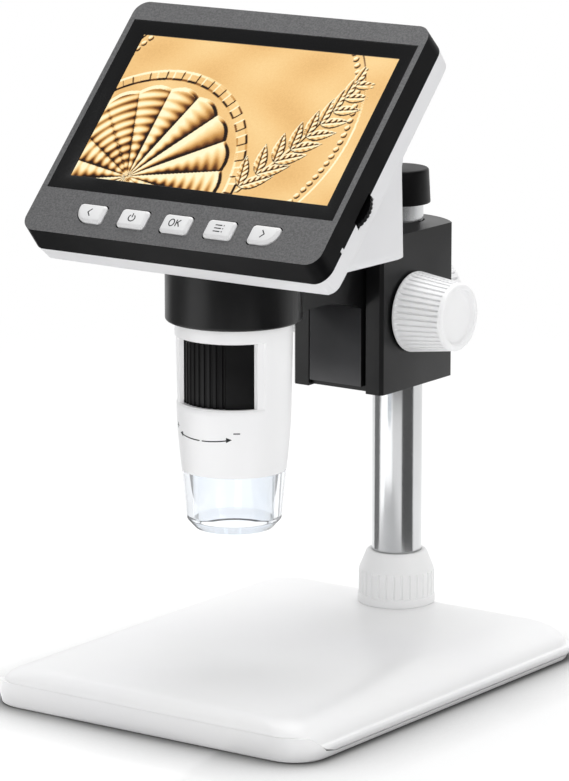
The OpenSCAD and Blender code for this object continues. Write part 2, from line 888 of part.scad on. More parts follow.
module barrel_body() {
    steps = 8;
    skin = [for (i = [0:steps]) let (z = tip_z + (window_z - tip_z) * i / steps) [barrel_skin(z), z]];
    window_a = front_angle + window_turn - window_half;
    color("white") at_barrel() difference() {
        rotate_extrude($fn = 96) polygon(concat(
            [[socket_in_r, tip_z]], skin,
            [[barrel_r, shoulder_z], [barrel_r, barrel_top], [wheel_bay_r, barrel_top],
             [wheel_bay_r, wheel_z - 0.1], [throat_r, wheel_z - 0.1], [throat_r, web_z + web_h],
             [web_hole_r, web_z + web_h], [web_hole_r, web_z], [throat_r, web_z], [throat_r, led_seat_z],
             [socket_in_r, led_seat_z]]));
        rotate(window_a) rotate_extrude(angle = 2 * window_half)
            translate([throat_r + 0.5, window_z]) square([barrel_r, window_h]);
        rotate(window_a - bevel_extra) rotate_extrude(angle = 2 * (window_half + bevel_extra))
            translate([barrel_r - bevel_depth, window_z - 0.6]) square([barrel_r, window_h + 0.9]);
        for (x = [-1, 1]) translate([x * guide_ring, 0, web_z - over])
            cylinder(r = guide_r + running_fit, h = web_h + 2 * over);
    }
}

module focus_wheel() {
    color("black") at_barrel(wheel_z) linear_extrude(wheel_h) difference() {
        circle(wheel_r);
        circle(carrier_r + slide_fit);
        for (sector = [0:2], i = [-4:4])
            rotate(grip_middle + 120 * sector + grip_step * i)
                translate([wheel_r + grip_rise, 0]) circle(grip_r, $fn = 16);
    }
}

module lens_carrier() {
    pin_z = web_z + 1.2;
    color("dimgray") at_barrel() {
        rotate_extrude() polygon([
            [front_lens_r + press_fit, snout_z], [snout_r, snout_z], [snout_r, carrier_z],
            [carrier_r, carrier_z], [carrier_r, carrier_z + carrier_h],
            [rear_lens_r + press_fit, carrier_z + carrier_h],
            [rear_lens_r + press_fit, carrier_z + carrier_floor],
            [front_lens_r - lens_seat, carrier_z + carrier_floor],
            [front_lens_r - lens_seat, snout_z + snout_seat],
            [front_lens_r + press_fit, snout_z + snout_seat]]);
        for (x = [-1, 1])
            translate([x * guide_ring, 0, pin_z]) cylinder(r = guide_r, h = carrier_z - pin_z + sliver);
    }
}

module front_lens() {
    lens_t = 2.8;
    color("lightblue") at_barrel(snout_z + snout_seat - lens_t) cylinder(r = front_lens_r, h = lens_t);
}

module rear_lens() {
    color("lightblue") at_barrel(carrier_z + carrier_floor) cylinder(r = rear_lens_r, h = 3.5);
}

module wheel_retainer() {
    color("dimgray") at_barrel(retainer_z) difference() {
        cylinder(r = wheel_bay_r - press_fit, h = retainer_h);
        translate([0, 0, -over]) cylinder(r = throat_r, h = retainer_h + 2 * over);
    }
}

module camera_board() {
    color("green") at_barrel(retainer_z + retainer_h) cylinder(r = wheel_bay_r - drop_fit, h = board_t);
}

module image_sensor() {
    size = 9;
    t = 1.6;
    color("dimgray") at_barrel(retainer_z + retainer_h - t)
        translate([-size / 2, -size / 2, 0]) cube([size, size, t]);
}

module led_board() {
    color("green") at_barrel(led_seat_z - led_board_t) difference() {
        cylinder(r = socket_in_r - drop_fit, h = led_board_t);
        translate([0, 0, -over]) cylinder(r = web_hole_r, h = led_board_t + 2 * over);
    }
}

module led_chips() {
    chip = 3;
    t = 1.2;
    color("lightyellow") at_barrel(led_seat_z - led_board_t - t)
        for (i = [0:7])
            rotate(45 * i) translate([guide_ring - chip / 2, -chip / 2, 0]) cube([chip, chip, t]);
}

module hood() {
    low_z = tip_z - hood_h;
    rim_z = low_z + 2.9;
    seat_r = socket_in_r - running_fit;
    color("lightcyan", 0.5) at_barrel() rotate_extrude($fn = 96) polygon([
        [hood_tip_r - hood_wall, low_z], [hood_tip_r, low_z], [hood_low_r, rim_z],
        [barrel_tip_r - running_fit, tip_z - sliver], [seat_r, tip_z - sliver], [seat_r, tip_z + spigot_h],
        [seat_r - hood_wall, tip_z + spigot_h], [seat_r - hood_wall, tip_z]]);
}

// ---- Display ----

module housing_plan(inset = 0) {
    translate([0, housing_mid])
        rounded(bezel_w - 2 * inset, housing_h - 2 * inset, max(1, bezel_corner - inset));
}

module opening_plan(gap = 0) {
    translate([-opening_half + gap, opening_low + gap])
        square([2 * (opening_half - gap), opening_top - opening_low - 2 * gap]);
}

// Outline of a button; side -1 or 1 gives its lower left or lower right corner a big round
module button_plan(side, grow = 0) {
    w = button_w + 2 * grow;
    h = button_h + 2 * grow;
    difference() {
        rounded(w, h, button_corner);
        if (side != 0)
            scale([-side, 1]) translate([-w / 2, -h / 2]) corner_cut(big_corner + grow);
    }
}

// Place in the row and side of each button, left to right
module at_button(i) { translate([button_shift + (i - 2) * button_pitch, button_v, 0]) children(); }
function button_side(i) = i == 0 ? -1 : i == 4 ? 1 : 0;

// Slots in the left side wall for the two sockets, and the slot of the dimmer wheel in the right one
module side_slots() {
    back = -main_board_n - board_t - drop_fit;
    translate([-bezel_w / 2 - over, usb_v - usb_w / 2 - drop_fit, back - usb_t])
        cube([shell_wall + 2 * over, usb_w + 2 * drop_fit, usb_t + 2 * drop_fit]);
    translate([-bezel_w / 2 - over, card_v - card_w / 2 - drop_fit, back - card_t])
        cube([shell_wall + 2 * over, card_w + 2 * drop_fit, card_t + 2 * drop_fit]);
    translate([dimmer_u, dimmer_v, dimmer_n - dimmer_gap])
        cylinder(r = dimmer_r + dimmer_gap, h = dimmer_t + 2 * dimmer_gap);
}

module bezel() {
    inner_n = face_n - plate_t;
    color([0.25, 0.25, 0.26]) at_screen() difference() {
        union() {
            difference() {
                translate([0, 0, -seam_n]) linear_extrude(seam_n + face_n) housing_plan();
                translate([0, 0, -seam_n - over])
                    linear_extrude(seam_n + inner_n + over) housing_plan(shell_wall);
                translate([0, 0, -seam_n - over]) linear_extrude(seam_n + face_n + 2 * over) opening_plan();
            }
            at_case_screws() translate([0, 0, -seam_n])
                cylinder(r = case_boss_r, h = seam_n + inner_n + sliver);
            for (x = [-0.5, 0.5])
                translate([button_shift + x * button_pitch, button_v, button_board_n])
                    cylinder(r = 1.5, h = inner_n - button_board_n + sliver);
        }
        for (i = [0:4]) at_button(i) translate([0, 0, inner_n - over])
            linear_extrude(plate_t + 2 * over) button_plan(button_side(i), button_gap);
        at_case_screws() translate([0, 0, -seam_n - over])
            cylinder(r = case_screw_r + press_fit, h = seam_n - 1 + over);
        side_slots();
        for (x = [-1, 1])
            translate([x * bezel_w / 2, latch_v, -seam_n])
                cube([2 * shell_wall + 2 * over, latch_w + 2 * drop_fit, 2 * (latch_h + drop_fit)],
                     center = true);
    }
}

module lcd_mask() {
    color("black") at_screen() difference() {
        linear_extrude(face_n) opening_plan(drop_fit);
        hull() {
            translate([0, 0, face_n]) linear_extrude(over) opening_plan(drop_fit + 0.4);
            translate([0, 0, mask_lip]) linear_extrude(sliver) square([active_w, active_h], center = true);
        }
        translate([0, 0, -over]) linear_extrude(2 * over) square([active_w, active_h], center = true);
    }
}

module lcd_panel() {
    color([0.55, 0.45, 0.25]) at_screen(-glass_t) linear_extrude(glass_t) opening_plan(0.5);
}

module main_board() {
    color("green") at_screen(-main_board_n - board_t) linear_extrude(board_t)
        translate([0, (opening_top + opening_low) / 2])
            square([2 * opening_half - 1, opening_top - opening_low - 4], center = true);
}

module button_board() {
    color("green") at_screen() {
        translate([-button_board_w / 2, button_v - 5, button_board_n - button_board_t])
            cube([button_board_w, button_board_h, button_board_t]);
        for (i = [0:4])
            at_button(i) translate([-switch_w / 2, -switch_w / 2, button_board_n - sliver])
                cube([switch_w, switch_w, switch_n - button_board_n]);
    }
}

module battery() {
    color("silver") at_screen(rear_floor_n + drop_fit) translate([-battery_w / 2, battery_low, 0])
        cube([battery_w, opening_top - battery_low, back_n - shell_wall - seam_n - 1]);
}

// Points of an arc, with angles in degrees
function arc(x, y, r, from, to, steps = 6) =
    [for (i = [0:steps]) let (a = from + (to - from) * i / steps) [x + r * cos(a), y + r * sin(a)]];

// Section of the rear shell between two sides: it draws in and rounds off towards its back
module rear_section(low, high) {
    draft = 0.5;
    r = rear_round;
    polygon(concat([[low, -seam_n]],
                   arc(low + draft + r, -back_n + r, r, 180, 270),
                   arc(high - draft - r, -back_n + r, r, 270, 360),
                   [[high, -seam_n]]));
}

// White half of the display housing: its outline and its two sections, crossed
module rear_blank() {
    intersection() {
        translate([0, 0, -back_n]) linear_extrude(back_n - seam_n) housing_plan();
        along_x(bezel_w) rear_section(-bezel_down, bezel_up);
        rotate([90, 0, 0]) linear_extrude(2 * housing_h, center = true)
            rear_section(-bezel_w / 2, bezel_w / 2);
    }
}

// Where the plane at depth n behind the picture lies at a height
function screen_plane_y(z, n) = barrel_y + (z - screen_z) / tan(screen_tilt) + n / sin(screen_tilt);
function screen_plane_z(y, n) = screen_z + (y - barrel_y - n / sin(screen_tilt)) * tan(screen_tilt);

// Wedge between the display's back and the barrel: side view, plan and rear view, crossed.
// Its front runs inside the display's rear wall, at depth n.
module wedge(inset, n) {
    half = wedge_half - inset;
    back = wedge_back_y - inset;
    low = wedge_z + inset;
    tall = 4 * (screen_z - wedge_z);
    r = wedge_round - inset;
    intersection() {
        along_x(2 * half) difference() {
            polygon([[screen_plane_y(low, n), low], [back, low], [back, screen_plane_z(back, n)]]);
            translate([back, low]) mirror([1, 0]) corner_cut(r);
        }
        translate([0, back - tall / 2, low]) linear_extrude(tall) rounded(2 * half, tall, r);
        translate([0, back, low + tall / 2]) rotate([90, 0, 0])
            linear_extrude(tall) rounded(2 * half, tall, r);
    }
}

module socket_boss() {
    at_barrel(wedge_z) rotate_extrude() difference() {
        square([socket_boss_r, socket_boss_h]);
        translate([socket_boss_r, socket_boss_h]) mirror([1, 1]) corner_cut(3);
    }
}

module rear_shell() {
    color("white") difference() {
        union() {
            difference() {
                union() {
                    at_screen() rear_blank();
                    wedge(0, back_n - 1);
                }
                wedge(shell_wall, back_n - shell_wall - 1);
                at_screen(rear_floor_n) linear_extrude(back_n) difference() {
                    housing_plan(shell_wall);
                    translate([-bezel_w, solid_below - bezel_w]) square([2 * bezel_w, bezel_w]);
                    at_case_screws() circle(case_boss_r + 0.9);
                }
            }
            difference() {
                socket_boss();
                at_screen(-seam_n) linear_extrude(2 * bezel_w) square(2 * bezel_w, center = true);
            }
            at_screen() for (x = [-1, 1])
                translate([x * (bezel_w / 2 - shell_wall / 2), latch_v, -seam_n])
                    cube([shell_wall, latch_w, 2 * latch_h], center = true);
        }
        at_barrel(wedge_z - over)
            cylinder(r = barrel_r + drop_fit, h = barrel_top + drop_fit - wedge_z + over, $fn = 96);
        at_barrel(wedge_z) cylinder(r = cable_hole_r, h = socket_boss_h + over);
        at_barrel(ring_z) cylinder(r = ring_relief_r, h = wedge_z - ring_z, $fn = 96);
        at_screen() at_case_screws() {
            translate([0, 0, -back_n - over]) cylinder(r = case_screw_r + 0.2, h = back_n + over);
            translate([0, 0, -back_n - over])
                cylinder(r = case_screw_head + 0.2, h = case_screw_sink + over);
        }
        at_screen() side_slots();
    }
}

module usb_socket() {
    color("silver") at_screen(-main_board_n - board_t - usb_t) difference() {
        translate([-bezel_w / 2 + 0.3, usb_v - usb_w / 2, 0]) cube([7.4, usb_w, usb_t]);
        translate([-bezel_w / 2, usb_v - usb_w / 2 + 0.4, 0.4]) cube([6, usb_w - 0.8, usb_t - 0.8]);
    }
}

module card_socket() {
    color("silver") at_screen(-main_board_n - board_t - card_t) difference() {
        translate([-bezel_w / 2 + 0.6, card_v - card_w / 2, 0]) cube([15, card_w, card_t]);
        translate([-bezel_w / 2, card_v - card_w / 2 + 1, 0.4]) cube([14, card_w - 2, card_t - 0.8]);
    }
}

module dimmer_pot() {
    color("dimgray") at_screen() translate([dimmer_u, dimmer_v, 0]) {
        translate([pot_side - pot_w, -pot_w / 2, rear_floor_n + drop_fit])
            cube([pot_w, pot_w, dimmer_n - dimmer_gap - 0.1 - rear_floor_n - drop_fit]);
        translate([0, 0, rear_floor_n + 1])
            cylinder(r = dimmer_pin_r, h = dimmer_n + dimmer_t - rear_floor_n - 1);
    }
}

module dimmer_wheel() {
    color("black") at_screen(dimmer_n) translate([dimmer_u, dimmer_v, 0])
        linear_extrude(dimmer_t) difference() {
            circle(dimmer_r);
            circle(dimmer_pin_r + running_fit);
            for (i = [0:dimmer_notches - 1])
                rotate(360 * i / dimmer_notches) translate([dimmer_r + 0.1, 0]) circle(0.35, $fn = 16);
        }
}

module housing_screws() {
    seat = -back_n + case_screw_sink;
    head = 1.4;
    color("silver") at_screen() at_case_screws() {
        translate([0, 0, seat - head]) cylinder(r = case_screw_head, h = head);
        translate([0, 0, seat - sliver]) cylinder(r = case_screw_r, h = -seat - 2.4);
    }
}

// Cap with a soft bevel, and the flange that keeps it behind the face
module button(i) {
    side = button_side(i);
    bevel = 0.8;
    color("white") at_screen() at_button(i) {
        translate([0, 0, flange_n - button_flange_t])
            linear_extrude(button_flange_t) button_plan(0, button_flange);
        translate([0, 0, flange_n - sliver])
            linear_extrude(button_top_n - bevel - flange_n + sliver) button_plan(side);
        hull() {
            translate([0, 0, button_top_n - bevel - sliver]) linear_extrude(sliver) button_plan(side);
            translate([0, 0, button_top_n - sliver]) linear_extrude(sliver) button_plan(side, -bevel);
        }
    }
}

module button_left() { button(0); }
module button_power() { button(1); }
module button_ok() { button(2); }
module button_menu() { button(3); }
module button_right() { button(4); }

base_shell();
base_tray();
ballast_plate();
base_feet();
base_screws();
column();
column_plug();
column_bolt();
column_collar();
column_cap();
clamp_bush();
carriage_block();
bush_ring();
channel_stop();
lock_knob();
lock_stud();
lock_shoe();
holder_arm();
focus_rack();
focus_shaft();
focus_pinion();
focus_knob_right();
focus_knob_left();
bezel();
lcd_mask();
lcd_panel();
main_board();
button_board();
battery();
rear_shell();
usb_socket();
card_socket();
dimmer_pot();
housing_screws();
barrel_body();
wheel_retainer();
camera_board();
image_sensor();
led_board();
led_chips();
hood();
focus_wheel();
lens_carrier();
front_lens();
rear_lens();
dimmer_wheel();
button_left();
button_power();
button_ok();
button_menu();
button_right();
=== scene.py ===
"""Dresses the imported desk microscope: its surfaces, finishes, light and camera.

Sizes are in millimetres in the row frame and become metres when a mesh is made. A surface is
a grid of points worked out with numpy, and each function says its formula in words.
"""
import json
import math

import bmesh
import bpy
import numpy as np
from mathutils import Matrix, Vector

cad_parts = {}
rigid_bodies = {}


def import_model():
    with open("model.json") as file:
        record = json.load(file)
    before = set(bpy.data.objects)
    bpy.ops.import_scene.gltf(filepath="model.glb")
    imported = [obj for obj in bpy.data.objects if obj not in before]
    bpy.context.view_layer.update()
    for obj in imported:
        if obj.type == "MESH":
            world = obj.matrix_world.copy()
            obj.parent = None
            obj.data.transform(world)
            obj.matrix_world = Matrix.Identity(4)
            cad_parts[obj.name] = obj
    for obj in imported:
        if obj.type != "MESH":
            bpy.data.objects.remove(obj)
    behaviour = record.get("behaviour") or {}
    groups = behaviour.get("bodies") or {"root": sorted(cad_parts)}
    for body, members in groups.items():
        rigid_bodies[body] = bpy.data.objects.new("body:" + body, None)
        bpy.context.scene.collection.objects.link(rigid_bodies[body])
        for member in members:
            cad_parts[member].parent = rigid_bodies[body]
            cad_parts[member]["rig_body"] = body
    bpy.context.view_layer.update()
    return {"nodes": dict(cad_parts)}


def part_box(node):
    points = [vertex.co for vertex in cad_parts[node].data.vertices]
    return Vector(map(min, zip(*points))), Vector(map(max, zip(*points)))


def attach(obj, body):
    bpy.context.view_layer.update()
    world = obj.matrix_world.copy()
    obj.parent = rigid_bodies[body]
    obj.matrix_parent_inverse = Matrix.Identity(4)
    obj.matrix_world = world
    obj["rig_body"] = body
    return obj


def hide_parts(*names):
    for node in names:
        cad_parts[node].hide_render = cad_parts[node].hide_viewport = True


MM = 0.001
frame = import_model()


def box_mm(node):
    """Lowest and highest corner of a CAD node, in millimetres."""
    return [np.array(corner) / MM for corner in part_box(node)]


def middle_mm(node):
    """Middle of a CAD node's box, in millimetres."""
    low, high = box_mm(node)
    return (low + high) / 2


# ---- Places and sizes that several sections use ----

COLUMN_LOW, COLUMN_HIGH = box_mm("column")
COLUMN_Y = middle_mm("column")[1]
COLUMN_R = (COLUMN_HIGH[0] - COLUMN_LOW[0]) / 2
BARREL_Y = middle_mm("hood")[1]

SCREEN_TILT = math.radians(46.2)
SCREEN_CENTRE = np.array([0.0, BARREL_Y, 181.0])
SCREEN_U = np.array([1.0, 0.0, 0.0])
SCREEN_V = np.array([0.0, math.cos(SCREEN_TILT), math.sin(SCREEN_TILT)])
SCREEN_N = np.array([0.0, -math.sin(SCREEN_TILT), math.cos(SCREEN_TILT)])
SCREEN_AXES = np.stack([SCREEN_U, SCREEN_V, SCREEN_N])


def on_screen(points):
    """Turns points (u, v, n) of the screen's own frame into the row frame."""
    return SCREEN_CENTRE + np.asarray(points, float) @ SCREEN_AXES


def screen_frame(points):
    """Turns row-frame points into the screen's own frame (u, v, n)."""
    return (points - SCREEN_CENTRE) @ SCREEN_AXES.T


# ---- Meshes ----

WELD, SLIVER = 1e-6, 1e-7            # metres, on new pieces
NODE_WELD = 2e-6                     # metres, on copies of CAD nodes
FLAT_ANGLE = math.radians(0.4)       # faces closer than this are one face
CREASE = 35                          # degrees, the usual angle that stays a sharp edge


def grid_faces(rows, columns, wrap=True):
    """Quads of a grid of points, closed along its columns where wrap is true."""
    last = columns if wrap else columns - 1
    i, j = np.meshgrid(np.arange(rows - 1), np.arange(last), indexing="ij")
    here, right = i * columns + j, i * columns + (j + 1) % columns
    return np.stack([here, right, right + columns, here + columns], -1).reshape(-1, 4)


def loft(rows):
    """Rows of closed loops joined by quads, with a flat cap on the first and the last."""
    rows = np.asarray(rows, float)
    count, width = rows.shape[:2]
    first, last = list(range(width)), list(range((count - 1) * width, count * width))
    return rows.reshape(-1, 3), grid_faces(count, width).tolist() + [first[::-1], last]


def ring_loft(rows):
    """Rows of closed loops joined by quads, the last row joined to the first."""
    rows = np.asarray(rows, float)
    count, width = rows.shape[:2]
    i, j = np.meshgrid(np.arange(count), np.arange(width), indexing="ij")
    up, right = (i + 1) % count, (j + 1) % width
    faces = np.stack([i * width + j, i * width + right, up * width + right, up * width + j], -1)
    return rows.reshape(-1, 3), faces.reshape(-1, 4).tolist()


def joined(*parts):
    """Several (points, faces) pairs as one."""
    points, faces, start = [], [], 0
    for part_points, part_faces in parts:
        points.append(np.asarray(part_points, float).reshape(-1, 3))
        faces += [[start + k for k in face] for face in part_faces]
        start += len(points[-1])
    return np.concatenate(points), faces


def with_height(flat, height):
    """Rows of points (x, y) with a height for each row or for each point as their third value."""
    height = np.asarray(height, float).reshape(len(flat), -1)[..., None]
    return np.concatenate([flat, np.broadcast_to(height, flat.shape[:2] + (1,))], -1)


def new_mesh(name, points, faces):
    """A mesh from points in millimetres and faces as rows of point numbers."""
    mesh = bpy.data.meshes.new(name)
    mesh.from_pydata((np.reshape(points, (-1, 3)) * MM).tolist(), [], [list(face) for face in faces])
    return mesh


def new_object(name, data):
    """A new object at the origin, in the scene, with the mesh, lamp or camera given."""
    made = bpy.data.objects.new(name, data)
    bpy.context.scene.collection.objects.link(made)
    return made


def shade(mesh, angle):
    """Smooth shading, broken at edges sharper than the angle in degrees."""
    mesh.polygons.foreach_set("use_smooth", np.ones(len(mesh.polygons), bool))
    mesh.set_sharp_from_angle(angle=math.radians(angle))


def piece(name, shape, body, finish, replaced=(), angle=CREASE):
    """A new object from points in millimetres and faces, welded, turned outwards and dressed."""
    mesh = new_mesh(name, *shape)
    work = bmesh.new()
    work.from_mesh(mesh)
    bmesh.ops.remove_doubles(work, verts=work.verts, dist=WELD)
    bmesh.ops.dissolve_degenerate(work, edges=work.edges, dist=SLIVER)
    bmesh.ops.recalc_face_normals(work, faces=work.faces)
    work.to_mesh(mesh)
    work.free()
    shade(mesh, angle)
    mesh.materials.append(finish)
    made = new_object(name, mesh)
    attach(made, body)
    if replaced:
        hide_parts(*replaced)
    return made


def soften(made, width):
    """Rounds the sharp edges of a finished mesh by a width in millimetres."""
    rounding = made.modifiers.new("edge", "BEVEL")
    rounding.width = width * MM
    rounding.segments = 3
    rounding.limit_method = "ANGLE"
    rounding.angle_limit = math.radians(CREASE)
    rounding.harden_normals = True
    rounding.use_clamp_overlap = True


def refined(node, finish, bevel, second=None, picks=None, cuts=(), reshape=None):
    """A welded copy of a CAD node with its flat faces whole and its edges softened.

    A second finish goes on the faces that picks(centre, normal) tells, with the centre in
    millimetres. Cuts are planes (point, normal) that give the faces more edges, and reshape is
    a function that then moves the copy's points, all at once and in millimetres.
    """
    source = frame["nodes"][node]
    mesh = source.data.copy()
    work = bmesh.new()
    work.from_mesh(mesh)
    bmesh.ops.remove_doubles(work, verts=work.verts, dist=NODE_WELD)
    bmesh.ops.dissolve_limit(work, angle_limit=FLAT_ANGLE, verts=work.verts, edges=work.edges)
    for point, normal in cuts:
        bmesh.ops.bisect_plane(work, geom=[*work.verts, *work.edges, *work.faces], dist=WELD,
                               plane_co=(np.asarray(point) * MM).tolist(), plane_no=list(normal))
    work.to_mesh(mesh)
    work.free()
    if reshape:
        points = np.empty(3 * len(mesh.vertices))
        mesh.vertices.foreach_get("co", points)
        mesh.vertices.foreach_set("co", (reshape(points.reshape(-1, 3) / MM) * MM).ravel())
        mesh.update()
    shade(mesh, CREASE)
    mesh.materials.clear()
    mesh.materials.append(finish)
    if second:
        mesh.materials.append(second)
        for face in mesh.polygons:
            face.material_index = int(picks(np.array(face.center) / MM, face.normal))
    made = new_object(node + "_finished", mesh)
    soften(made, bevel)
    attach(made, source["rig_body"])
    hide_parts(node)
    return made


# ---- Finishes ----

SHEEN_PATCH = 14.0                   # millimetres, size of the patches in which the sheen drifts


def srgb(text):
    """Linear RGBA of an sRGB hex colour."""
    parts = np.array([int(text[k:k + 2], 16) for k in (1, 3, 5)]) / 255
    linear = np.where(parts <= 0.04045, parts / 12.92, ((parts + 0.055) / 1.055) ** 2.4)
    return (*linear.tolist(), 1.0)


def add(tree, kind, values=None, links=None, **settings):
    """Adds one node with its settings, socket values and links, and returns it."""
    made = tree.nodes.new(kind)
    for key, value in settings.items():
        setattr(made, key, value)
    for key, value in (values or {}).items():
        made.inputs[key].default_value = value
    for key, source in (links or {}).items():
        tree.links.new(source, made.inputs[key])
    return made


def blank(name, **values):
    """A new material with one Principled shader; the values go on the shader's own sockets."""
    material = bpy.data.materials.new(name)
    material.use_nodes = True
    tree = material.node_tree
    shader = tree.nodes["Principled BSDF"]
    for key, value in values.items():
        shader.inputs[key.replace("_", " ")].default_value = value
    return material, tree, shader


def mottle(tree, shader, low, high, size, detail=3.0):
    """Colour that drifts between two near shades in patches of a size in millimetres.

    Returns the Object coordinates, in which the finish's other patterns are drawn too.
    """
    local = add(tree, "ShaderNodeTexCoord").outputs["Object"]
    noise = add(tree, "ShaderNodeTexNoise", {"Scale": 1 / (size * MM), "Detail": detail}, {"Vector": local})
    ramp = add(tree, "ShaderNodeValToRGB", links={"Fac": noise.outputs["Fac"]})
    for stop, position, shade_of in zip(ramp.color_ramp.elements, (0.35, 0.65), (low, high)):
        stop.position = position
        stop.color = srgb(shade_of)
    tree.links.new(ramp.outputs["Color"], shader.inputs["Base Color"])
    return local


def grain(tree, shader, local, size, depth, rough=None):
    """Fine moulded or sprayed grain of a size and a depth in millimetres, and its sheen.

    The sheen's roughness drifts in slow patches between the two values of rough.
    """
    noise = add(tree, "ShaderNodeTexNoise", {"Scale": 1 / (size * MM), "Detail": 2.0}, {"Vector": local})
    bump = add(tree, "ShaderNodeBump", {"Strength": 0.6, "Distance": depth * MM},
               {"Height": noise.outputs["Fac"]})
    tree.links.new(bump.outputs["Normal"], shader.inputs["Normal"])
    if rough:
        drift = add(tree, "ShaderNodeTexNoise", {"Scale": 1 / (SHEEN_PATCH * MM), "Detail": 4.0},
                    {"Vector": local})
        spread = add(tree, "ShaderNodeMapRange",
                     {"From Min": 0.3, "From Max": 0.7, "To Min": rough[0], "To Max": rough[1]},
                     {"Value": drift.outputs["Fac"]})
        tree.links.new(spread.outputs["Result"], shader.inputs["Roughness"])


def grained(name, shades, drift, size, depth, rough=None, detail=3.0, **values):
    """A finish whose colour drifts between two shades and whose skin has a grain.

    Drift is the size of the colour's patches, size and depth are the grain's, all in millimetres.
    The roughness drifts between the two values of rough; other values go on the shader's sockets.
    """
    material, tree, shader = blank(name, **values)
    local = mottle(tree, shader, *shades, drift, detail)
    grain(tree, shader, local, size, depth, rough)
    return material


def polished_steel():
    """Drawn and polished steel tube: long faint draw lines over a bright mirror.

    The lines are noise of a line's width, stretched fifty times along z. Real draw lines are
    finer and wouldn't show.
    """
    line_width, stretch = 0.5, 0.02
    material, tree, shader = blank("polished_steel", Metallic=1.0)
    local = mottle(tree, shader, "#CFD0D1", "#D6D7D8", 25)
    drawn = add(tree, "ShaderNodeMapping", {"Scale": (1.0, 1.0, stretch)}, {"Vector": local})
    lines = add(tree, "ShaderNodeTexNoise", {"Scale": 1 / (line_width * MM), "Detail": 3.0},
                {"Vector": drawn.outputs["Vector"]})
    spread = add(tree, "ShaderNodeMapRange", {"To Min": 0.12, "To Max": 0.2},
                 {"Value": lines.outputs["Fac"]})
    tree.links.new(spread.outputs["Result"], shader.inputs["Roughness"])
    bump = add(tree, "ShaderNodeBump", {"Strength": 0.15, "Distance": 0.003 * MM},
               {"Height": lines.outputs["Fac"]})
    tree.links.new(bump.outputs["Normal"], shader.inputs["Normal"])
    return material


def optical_glass():
    """Ground and coated lens glass."""
    material, tree, shader = blank("optical_glass", IOR=1.52, Transmission_Weight=1.0, Roughness=0.01,
                                   Coat_Weight=0.4, Coat_Tint=srgb("#B8C8F0"))
    mottle(tree, shader, "#F2F6FA", "#F8FAFC", 5)
    return material


def lit_picture():
    """The lit panel: the picture's colours shine through a smooth glass front.

    The colours are the mesh's own attribute. The glass reflects them at less than half.
    """
    material, tree, shader = blank("lit_picture", IOR=1.5, Roughness=0.25, Emission_Strength=0.62)
    colours = add(tree, "ShaderNodeAttribute", attribute_name="picture").outputs["Color"]
    darker = add(tree, "ShaderNodeMix", {"Factor": 0.55}, data_type="RGBA")
    tree.links.new(colours, darker.inputs["A"])
    darker.inputs["B"].default_value = (0.0, 0.0, 0.0, 1.0)
    tree.links.new(darker.outputs["Result"], shader.inputs["Base Color"])
    tree.links.new(colours, shader.inputs["Emission Color"])
    return material


# Semi-gloss injection-moulded ABS: an even white whose skin waves a little.
GLOSS_WHITE = grained("glossy_white_abs", ("#EFEFF0", "#F2F2F2"), 60, 9.0, 0.008, (0.31, 0.36), IOR=1.5)

# Fine-textured moulded ABS: a soft white whose faint grain spreads the light.
SATIN_WHITE = grained("satin_white_abs", ("#DADADC", "#DFDFE0"), 40, 0.5, 0.008, (0.40, 0.46), IOR=1.53)

# Moulded ABS of the keys: a slightly greyer white, rubbed smooth by fingers.
KEY_WHITE = grained("key_white_abs", ("#D9D9DA", "#DFDFDF"), 20, 0.5, 0.004, (0.32, 0.38), IOR=1.5)

# Polished-mould ABS of the knobs, collar and barrel: bright edges on a clean white.
SEMI_WHITE = grained("semi_gloss_white_abs", ("#EEEEEF", "#F1F1F1"), 50, 1.4, 0.003, (0.34, 0.38),
                     IOR=1.53)

# Spark-eroded charcoal ABS of the front frame: a fine even grain with a dull sheen.
# Real spark grain is a few tenths of a millimetre wide and is drawn a little coarser, to show.
GREY_FRAME = grained("grained_grey_abs", ("#505051", "#666667"), 0.55, 0.65, 0.11, (0.48, 0.58),
                     detail=2.0, IOR=1.5)

# Moulded black ABS of the front frame's side walls: an even, dull near black.
# Its low IOR stands for the sheen that the rough side of the mould takes away.
DULL_BLACK = grained("dull_black_abs", ("#0C0C0D", "#101011"), 12, 0.6, 0.008, (0.32, 0.4), IOR=1.13)

# Gloss-black acrylic round the picture: deep black with a sharp reflection.
GLOSS_BLACK = grained("piano_black", ("#0B0B0C", "#101011"), 30, 6.0, 0.004, (0.12, 0.2),
                      IOR=1.49, Coat_Weight=0.3, Coat_Roughness=0.05)

# Sprayed satin black on a die-cast body: near black with a broad soft highlight.
SATIN_BLACK = grained("satin_black_coat", ("#0C0C0D", "#101011"), 12, 0.5, 0.015, (0.30, 0.38), IOR=1.36)

# Satin black coat of the slide's face, painted a lighter charcoal on its forward faces: a painted sheen
# that stands for the light reflected there.
SLIDE_PAINTED_SHEEN = grained("slide_face_painted_sheen", ("#343436", "#3A3A3C"), 12, 0.5, 0.012, (0.36, 0.42), IOR=1.5)

# Moulded black acetal of wheel and cap: a waxy, slightly dull black.
MATT_BLACK = grained("matt_black_pom", ("#070708", "#0C0C0D"), 7, 0.6, 0.012, (0.4, 0.5), IOR=1.3)

# Zinc-plated screws and stamped shells: grey-blue metal with a fine crystalline haze.
ZINC = grained("zinc_steel", ("#A9ACB0", "#BBBEC1"), 2, 0.4, 0.01, (0.28, 0.42), Metallic=1.0)

# Turned brass of rack, pinion, bush and shoe: warm metal with fine tool marks.
BRASS = grained("machined_brass", ("#C7A052", "#D4AE5E"), 4, 0.3, 0.008, (0.25, 0.36), Metallic=1.0)

# Clear moulded PMMA of the hood: sharp edges, faint cool tint in its thick parts.
ACRYLIC = grained("clear_acrylic", ("#F6FAFF", "#FBFDFF"), 20, 7.0, 0.004,
                  IOR=1.49, Transmission_Weight=1.0, Roughness=0.02)

